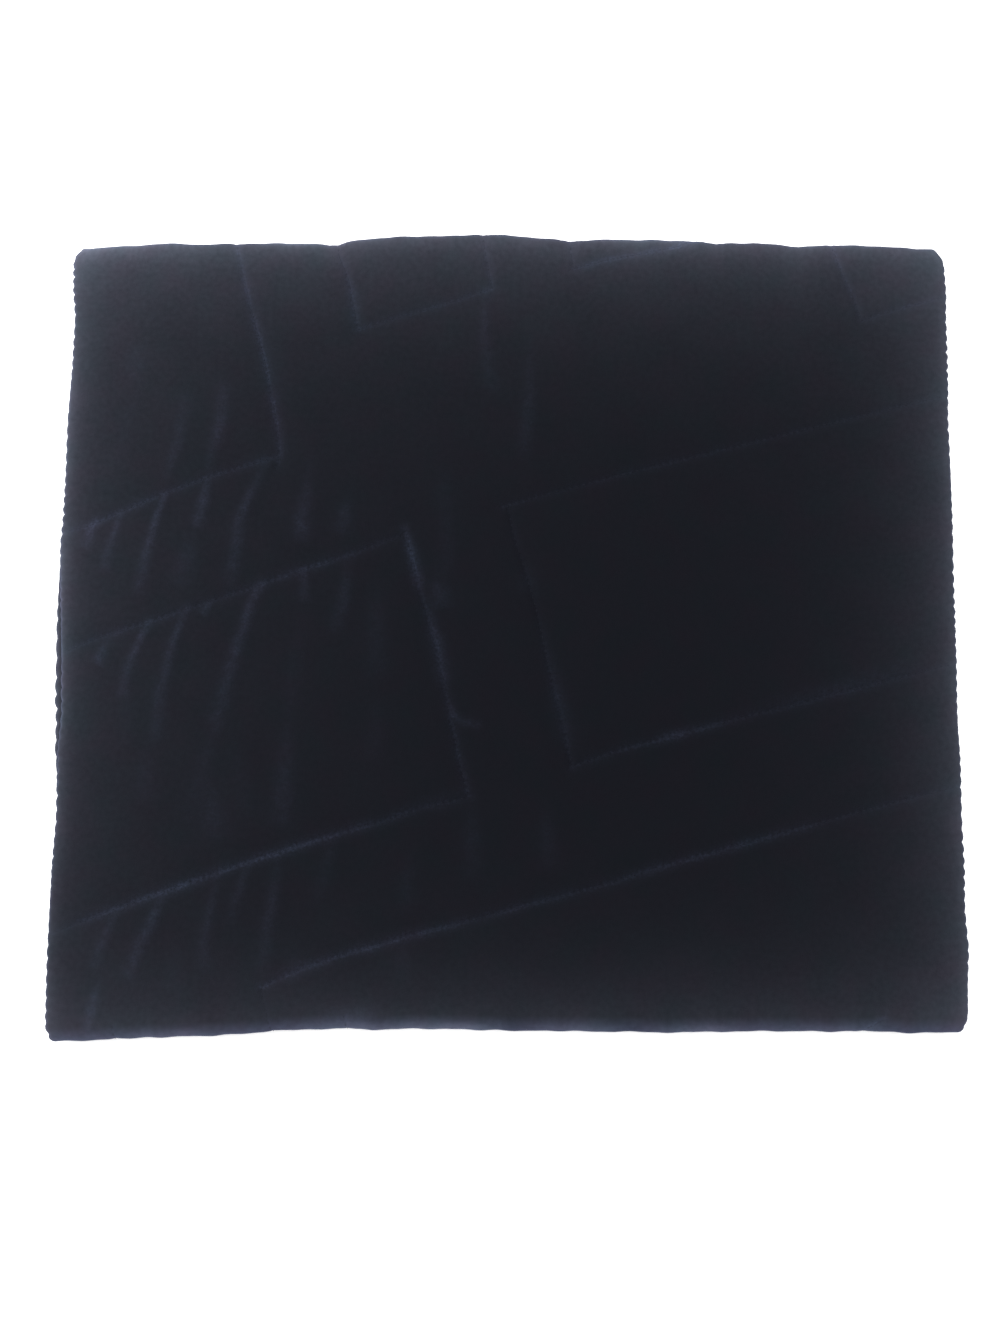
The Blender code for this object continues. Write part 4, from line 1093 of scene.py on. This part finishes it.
def lint_group():
    """Sparse specks of lint caught in the nap."""
    tree, given, out = new_group("lint", (("Specks per Metre", 55.0), ("Kept Share", 0.03)), ("Speck",))
    places = {"Vector": strip_place(tree), "Scale": given["Specks per Metre"]}
    cells = add_node(tree, "ShaderNodeTexVoronoi", places).outputs
    pick = add_node(tree, "ShaderNodeSeparateColor", {0: cells["Color"]}).outputs
    kept = Value(tree, pick["Red"]).maths("LESS_THAN", given["Kept Share"])
    size = Value(tree, pick["Green"]) * 0.018 + 0.014
    spot = (1.0 - Value(tree, cells["Distance"]) / size).clamped()
    plug(tree, spot * kept, out["Speck"])
    return tree


def mix_colour(tree, factor, under, over, blend="MIX"):
    inputs = {"Factor": factor, 6: under, 7: over}
    return add_node(tree, "ShaderNodeMix", inputs, data_type="RGBA", blend_type=blend).outputs[2]


def lighter(tree, amount, under, colour):
    """The colour under, and this much of another added to it."""
    share = add_node(tree, "ShaderNodeVectorMath", {0: colour[:3], "Scale": amount}, operation="SCALE")
    return mix_colour(tree, 1.0, under, share.outputs[0], "ADD")


def new_material(name):
    """A material, its node tree and the inputs of its shader."""
    material = bpy.data.materials.new(name)
    material.use_nodes = True
    return material, material.node_tree, material.node_tree.nodes["Principled BSDF"].inputs


def add_bump(tree, shader, height, strength, distance):
    bump = add_node(tree, "ShaderNodeBump", {"Strength": strength, "Distance": distance, "Height": height})
    plug(tree, bump.outputs["Normal"], shader["Normal"])


NAVY = (0.00314, 0.00340, 0.00466, 1.0)
WARM_TINT = (1.08, 0.97, 1.0, 1.0)
COOL_TINT = (0.95, 1.02, 1.0, 1.0)
# Painted sheen, added along the seams and on the puckers
PAINTED_SHEEN_BLUE = (0.00295, 0.00370, 0.00650, 1.0)
# Painted light, added towards the edges of the stack
PAINTED_EDGE_LIGHT = (0.01530, 0.01700, 0.02230, 1.0)
# Painted sheen rim, added where the cloth turns down at the edges
PAINTED_RIM_SHEEN = (0.01000, 0.01180, 0.02200, 1.0)
LINT = (0.35, 0.36, 0.38, 1.0)
THREAD_DARK = (0.0028, 0.0031, 0.0045, 1.0)
THREAD_LIGHT = (0.0058, 0.0064, 0.0090, 1.0)


def velvet(name, groups, line_share, edge_share, rim_share):
    """The velvet, with a share each of the painted sheen lines along the seams, of the painted edge light and
    of the painted sheen rims.
    """
    material, tree, shader = new_material(name)
    pile, nap, edges, lint = (add_node(tree, "ShaderNodeGroup", node_tree=group).outputs for group in groups)
    # Painted light added to the navy: edge light, sheen lines and streaks, and sheen rims
    uneven = Value(tree, pile["Lean"]) + 0.5
    edge_light_paint = Value(tree, edges["Edge"]) * uneven * edge_share
    rim = Value(tree, edges["Rim"]) * uneven * rim_share
    shine = Value(tree, nap["Line"]) * line_share + nap["Streak"]
    colour = lighter(tree, edge_light_paint, NAVY, PAINTED_EDGE_LIGHT)
    colour = lighter(tree, shine, colour, PAINTED_SHEEN_BLUE)
    colour = lighter(tree, rim, colour, PAINTED_RIM_SHEEN)
    tint = mix_colour(tree, pile["Hue"], WARM_TINT, COOL_TINT)
    colour = mix_colour(tree, 1.0, colour, tint, "MULTIPLY")
    plug(tree, mix_colour(tree, lint["Speck"], colour, LINT), shader["Base Color"])
    add_bump(tree, shader, pile["Tufts"], 0.6, 0.0004)
    shader["Roughness"].default_value = 1.0
    shader["Specular IOR Level"].default_value = 0.0
    shader["Sheen Weight"].default_value = 0.06
    shader["Sheen Roughness"].default_value = 0.3
    shader["Sheen Tint"].default_value = (0.50, 0.60, 1.0, 1.0)
    return material


def thread_material(edges):
    """Sewing thread sunk in the quilting: twisted, with the same painted edge light and painted seam sheen as
    the nap round it.
    """
    material, tree, shader = new_material("navy thread")
    place = add_node(tree, "ShaderNodeTexCoord").outputs["Object"]
    twist = add_node(tree, "ShaderNodeTexWave", {"Vector": place, "Scale": 900.0, "Distortion": 1.5})
    twist = twist.outputs["Fac"]
    edge_light_paint = add_node(tree, "ShaderNodeGroup", node_tree=edges).outputs["Edge"]
    tone = mix_colour(tree, twist, THREAD_DARK, THREAD_LIGHT)
    # Painted edge light and painted seam sheen, as on the velvet
    tone = lighter(tree, edge_light_paint, tone, PAINTED_EDGE_LIGHT)
    tone = lighter(tree, attribute(tree, "seam_shine"), tone, PAINTED_SHEEN_BLUE)
    plug(tree, tone, shader["Base Color"])
    add_bump(tree, shader, twist, 0.4, 0.0001)
    shader["Roughness"].default_value = 0.8
    shader["Specular IOR Level"].default_value = 0.03
    return material


# Quilting stitches

THREAD = 0.38
STITCH_LENGTH = 2.9
STITCH_SINK = 0.20       # of the thread, under the crease's floor
STITCH_START = 0.4       # share of the near fold that has none
STITCH_MARGIN = 2.0      # from the hems


def stitch_guides():
    """A mesh of loose lines through the middle of every stitch, lying in the creases."""
    places, edges = [], []
    # The shine and edge values carry the painted sheen of the seams and edges to the thread's colour
    values = {"strip_x": [], "strip_v": [], "stack_y": [], "seam_shine": [], "edge_painted_sheen": []}
    for seam in SEAMS:
        line = seam_line(seam)
        marks = passed_lengths(line)
        runs = np.linspace(0.0, marks[-1], round(marks[-1] / STITCH_PITCH) + 1)[:-1]
        spots = np.stack([np.interp(runs, marks, line[:, 0]), np.interp(runs, marks, line[:, 1])], axis=1)
        spots = inside(spots, V_NEAR_END + STITCH_START * NEAR_ARC, V_FAR_END, STITCH_MARGIN)
        height = HALF_LEAF + relief(spots) + THREAD / 2 - STITCH_SINK
        edges += [(len(places) + k, len(places) + k + 1) for k in range(len(spots) - 1)]
        places += (on_strip(spots, height) * MM).tolist()
        y, _, normal_y, _ = strip_path(spots[:, 1])
        stack_y = y + height * normal_y
        values["strip_x"] += (spots[:, 0] * MM).tolist()
        values["strip_v"] += (spots[:, 1] * MM).tolist()
        values["stack_y"] += (stack_y * MM).tolist()
        values["seam_shine"] += nearest_seam(spots)[2].tolist()
        values["edge_painted_sheen"] += edge_painted_sheen(spots[:, 0], stack_y).tolist()
    mesh = bpy.data.meshes.new("quilting_stitches")
    mesh.from_pydata(places, edges, [])
    keep_numbers(mesh, values)
    return placed(mesh)


def stitch_tree():
    """Lays one spindle of thread along the guides at each of their points."""
    tree = bpy.data.node_groups.new("quilting stitches", "GeometryNodeTree")
    kinds = (("Guides", "Geometry"), ("Stitch Length", "Float"), ("Thread", "Float"), ("Unevenness", "Float"),
             ("Seed", "Int"), ("Material", "Material"))
    for title, kind in kinds:
        tree.interface.new_socket(title, in_out="INPUT", socket_type="NodeSocket" + kind)
    tree.interface.new_socket("Stitches", in_out="OUTPUT", socket_type="NodeSocketGeometry")
    given = tree.nodes.new("NodeGroupInput").outputs
    out = tree.nodes.new("NodeGroupOutput").inputs
    curves = add_node(tree, "GeometryNodeMeshToCurve", {"Mesh": given["Guides"]}).outputs["Curve"]
    ball = {"Segments": 6, "Rings": 5, "Radius": 0.5}
    spindle = add_node(tree, "GeometryNodeMeshUVSphere", ball).outputs["Mesh"]
    tangent = {"Vector": add_node(tree, "GeometryNodeInputTangent").outputs["Tangent"]}
    turn = add_node(tree, "FunctionNodeAlignRotationToVector", tangent, axis="X").outputs["Rotation"]
    spread = Value(tree, given["Unevenness"])
    limits = {2: 1.0 - spread, 3: spread + 1.0}
    uneven = add_node(tree, "FunctionNodeRandomValue", {"Seed": given["Seed"], **limits}, data_type="FLOAT")
    length = Value(tree, given["Stitch Length"]) * uneven.outputs[1]
    size = add_node(tree, "ShaderNodeCombineXYZ", {"X": length, "Y": given["Thread"], "Z": given["Thread"]})
    laid = add_node(tree, "GeometryNodeInstanceOnPoints",
                    {"Points": curves, "Instance": spindle, "Rotation": turn, "Scale": size.outputs[0]})
    real = add_node(tree, "GeometryNodeRealizeInstances", {"Geometry": laid.outputs["Instances"]})
    x, v = (add_node(tree, "GeometryNodeInputNamedAttribute", {"Name": name}, data_type="FLOAT").outputs[0]
            for name in ("strip_x", "strip_v"))
    place = add_node(tree, "ShaderNodeCombineXYZ", {"X": x, "Y": v}).outputs[0]
    stored = add_node(tree, "GeometryNodeStoreNamedAttribute",
                      {"Geometry": real.outputs["Geometry"], "Name": "strip", "Value": place},
                      data_type="FLOAT2", domain="CORNER")
    smoothed = add_node(tree, "GeometryNodeSetShadeSmooth", {"Geometry": stored.outputs["Geometry"]})
    finished = add_node(tree, "GeometryNodeSetMaterial",
                        {"Geometry": smoothed.outputs[0], "Material": given["Material"]})
    plug(tree, finished.outputs["Geometry"], out["Stitches"])
    return tree


def laid_by_nodes(obj, tree, values):
    """Runs a node tree on the object and keeps its result as a plain mesh."""
    modifier = obj.modifiers.new("laid", "NODES")
    modifier.node_group = tree
    for item in tree.interface.items_tree:
        if item.item_type == "SOCKET" and item.in_out == "INPUT" and item.name in values:
            modifier[item.identifier] = values[item.name]
    graph = bpy.context.evaluated_depsgraph_get()
    laid = obj.evaluated_get(graph)
    made = bpy.data.meshes.new_from_object(laid, preserve_all_data_layers=True, depsgraph=graph)
    obj.modifiers.clear()
    obj.data = made
    made.name = obj.name
    return obj


def quilting_stitches(edges):
    values = {"Stitch Length": STITCH_LENGTH * MM, "Thread": THREAD * MM, "Unevenness": 0.12, "Seed": 7,
              "Material": thread_material(edges)}
    return laid_by_nodes(stitch_guides(), stitch_tree(), values)


# Camera, floor and light

CAMERA_TILT = math.radians(12.2)
CAMERA_AWAY = 1.414
CAMERA_AIM = (-0.0039, -0.0259, 0.02)
CAMERA_LENS = 69.1
CAMERA_SENSOR = 36.0
FLOOR_HALF = 6.0
WORLD_LIGHT = 1.5
WHITE = (1.0, 1.0, 1.0)
COOL_WHITE = (0.98, 0.99, 1.0)


def add_camera():
    camera = bpy.data.cameras.new("camera")
    camera.lens = CAMERA_LENS
    camera.sensor_width = CAMERA_SENSOR
    obj = placed(camera)
    back = Vector((0.0, -math.sin(CAMERA_TILT), math.cos(CAMERA_TILT)))
    obj.location = Vector(CAMERA_AIM) + CAMERA_AWAY * back
    obj.rotation_euler = (CAMERA_TILT, 0.0, 0.0)
    bpy.context.scene.camera = obj


def add_floor():
    mesh = bpy.data.meshes.new("floor")
    corners = [(FLOOR_HALF * x, FLOOR_HALF * y, 0.0) for x, y in ((-1, -1), (1, -1), (1, 1), (-1, 1))]
    mesh.from_pydata(corners, [], [(0, 1, 2, 3)])
    material, _, shader = new_material("white paper")
    shader["Base Color"].default_value = (0.9, 0.9, 0.9, 1.0)
    shader["Roughness"].default_value = 0.9
    shader["Specular IOR Level"].default_value = 0.1
    mesh.materials.append(material)
    floor = placed(mesh)


def add_softbox(name, place, width, height, power, colour):
    """A rectangle of light that faces the origin."""
    lamp = bpy.data.lights.new(name, "AREA")
    lamp.shape = "RECTANGLE"
    lamp.size = width
    lamp.size_y = height
    lamp.energy = power
    lamp.color = colour
    obj = placed(lamp)
    obj.location = place
    obj.rotation_euler = (Vector((0.0, 0.0, 0.0)) - Vector(place)).to_track_quat("-Z", "Y").to_euler()


def add_lights():
    world = bpy.data.worlds.new("studio")
    world.use_nodes = True
    background = world.node_tree.nodes["Background"].inputs
    background["Color"].default_value = (*WHITE, 1.0)
    background["Strength"].default_value = WORLD_LIGHT
    bpy.context.scene.world = world
    add_softbox("overhead softbox", (0.0, 0.2, 2.2), width=2.4, height=2.0, power=60.0, colour=WHITE)
    add_softbox("left softbox", (-1.7, 0.3, 0.9), width=1.2, height=1.0, power=30.0, colour=COOL_WHITE)
    bpy.context.scene.view_settings.view_transform = "Standard"


SEAM_GAP = 0.3           # between the outer half of the strip and the inner, inside the stack


def main():
    groups = pile_group(), painted_sheen_group(), painted_edges_group(), lint_group()
    outside = cloth("quilted_velvet", V_LOW_HEM, V_CUT, HEM_FREE, HEM_CUT)
    folded = cloth("folded_velvet", V_CUT + SEAM_GAP, V_THIRD_HEM, HEM_CUT, HEM_FREE)
    stitches = quilting_stitches(groups[2])
    plain = velvet("navy velvet", groups, line_share=1.05, edge_share=1.0, rim_share=1.0)
    inner = velvet("navy velvet, inner folds", groups, line_share=0.8, edge_share=1.5, rim_share=0.5)
    outside.data.materials.append(plain)
    folded.data.materials.append(inner)
    for piece in (outside, folded, stitches):
        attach(piece, "root")
    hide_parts("outer_leaf")
    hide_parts("inner_leaves")
    (V_CUT - V_LOW_HEM) * MM
    (V_THIRD_HEM - V_CUT) * MM
    add_floor()
    add_lights()
    add_camera()


main()
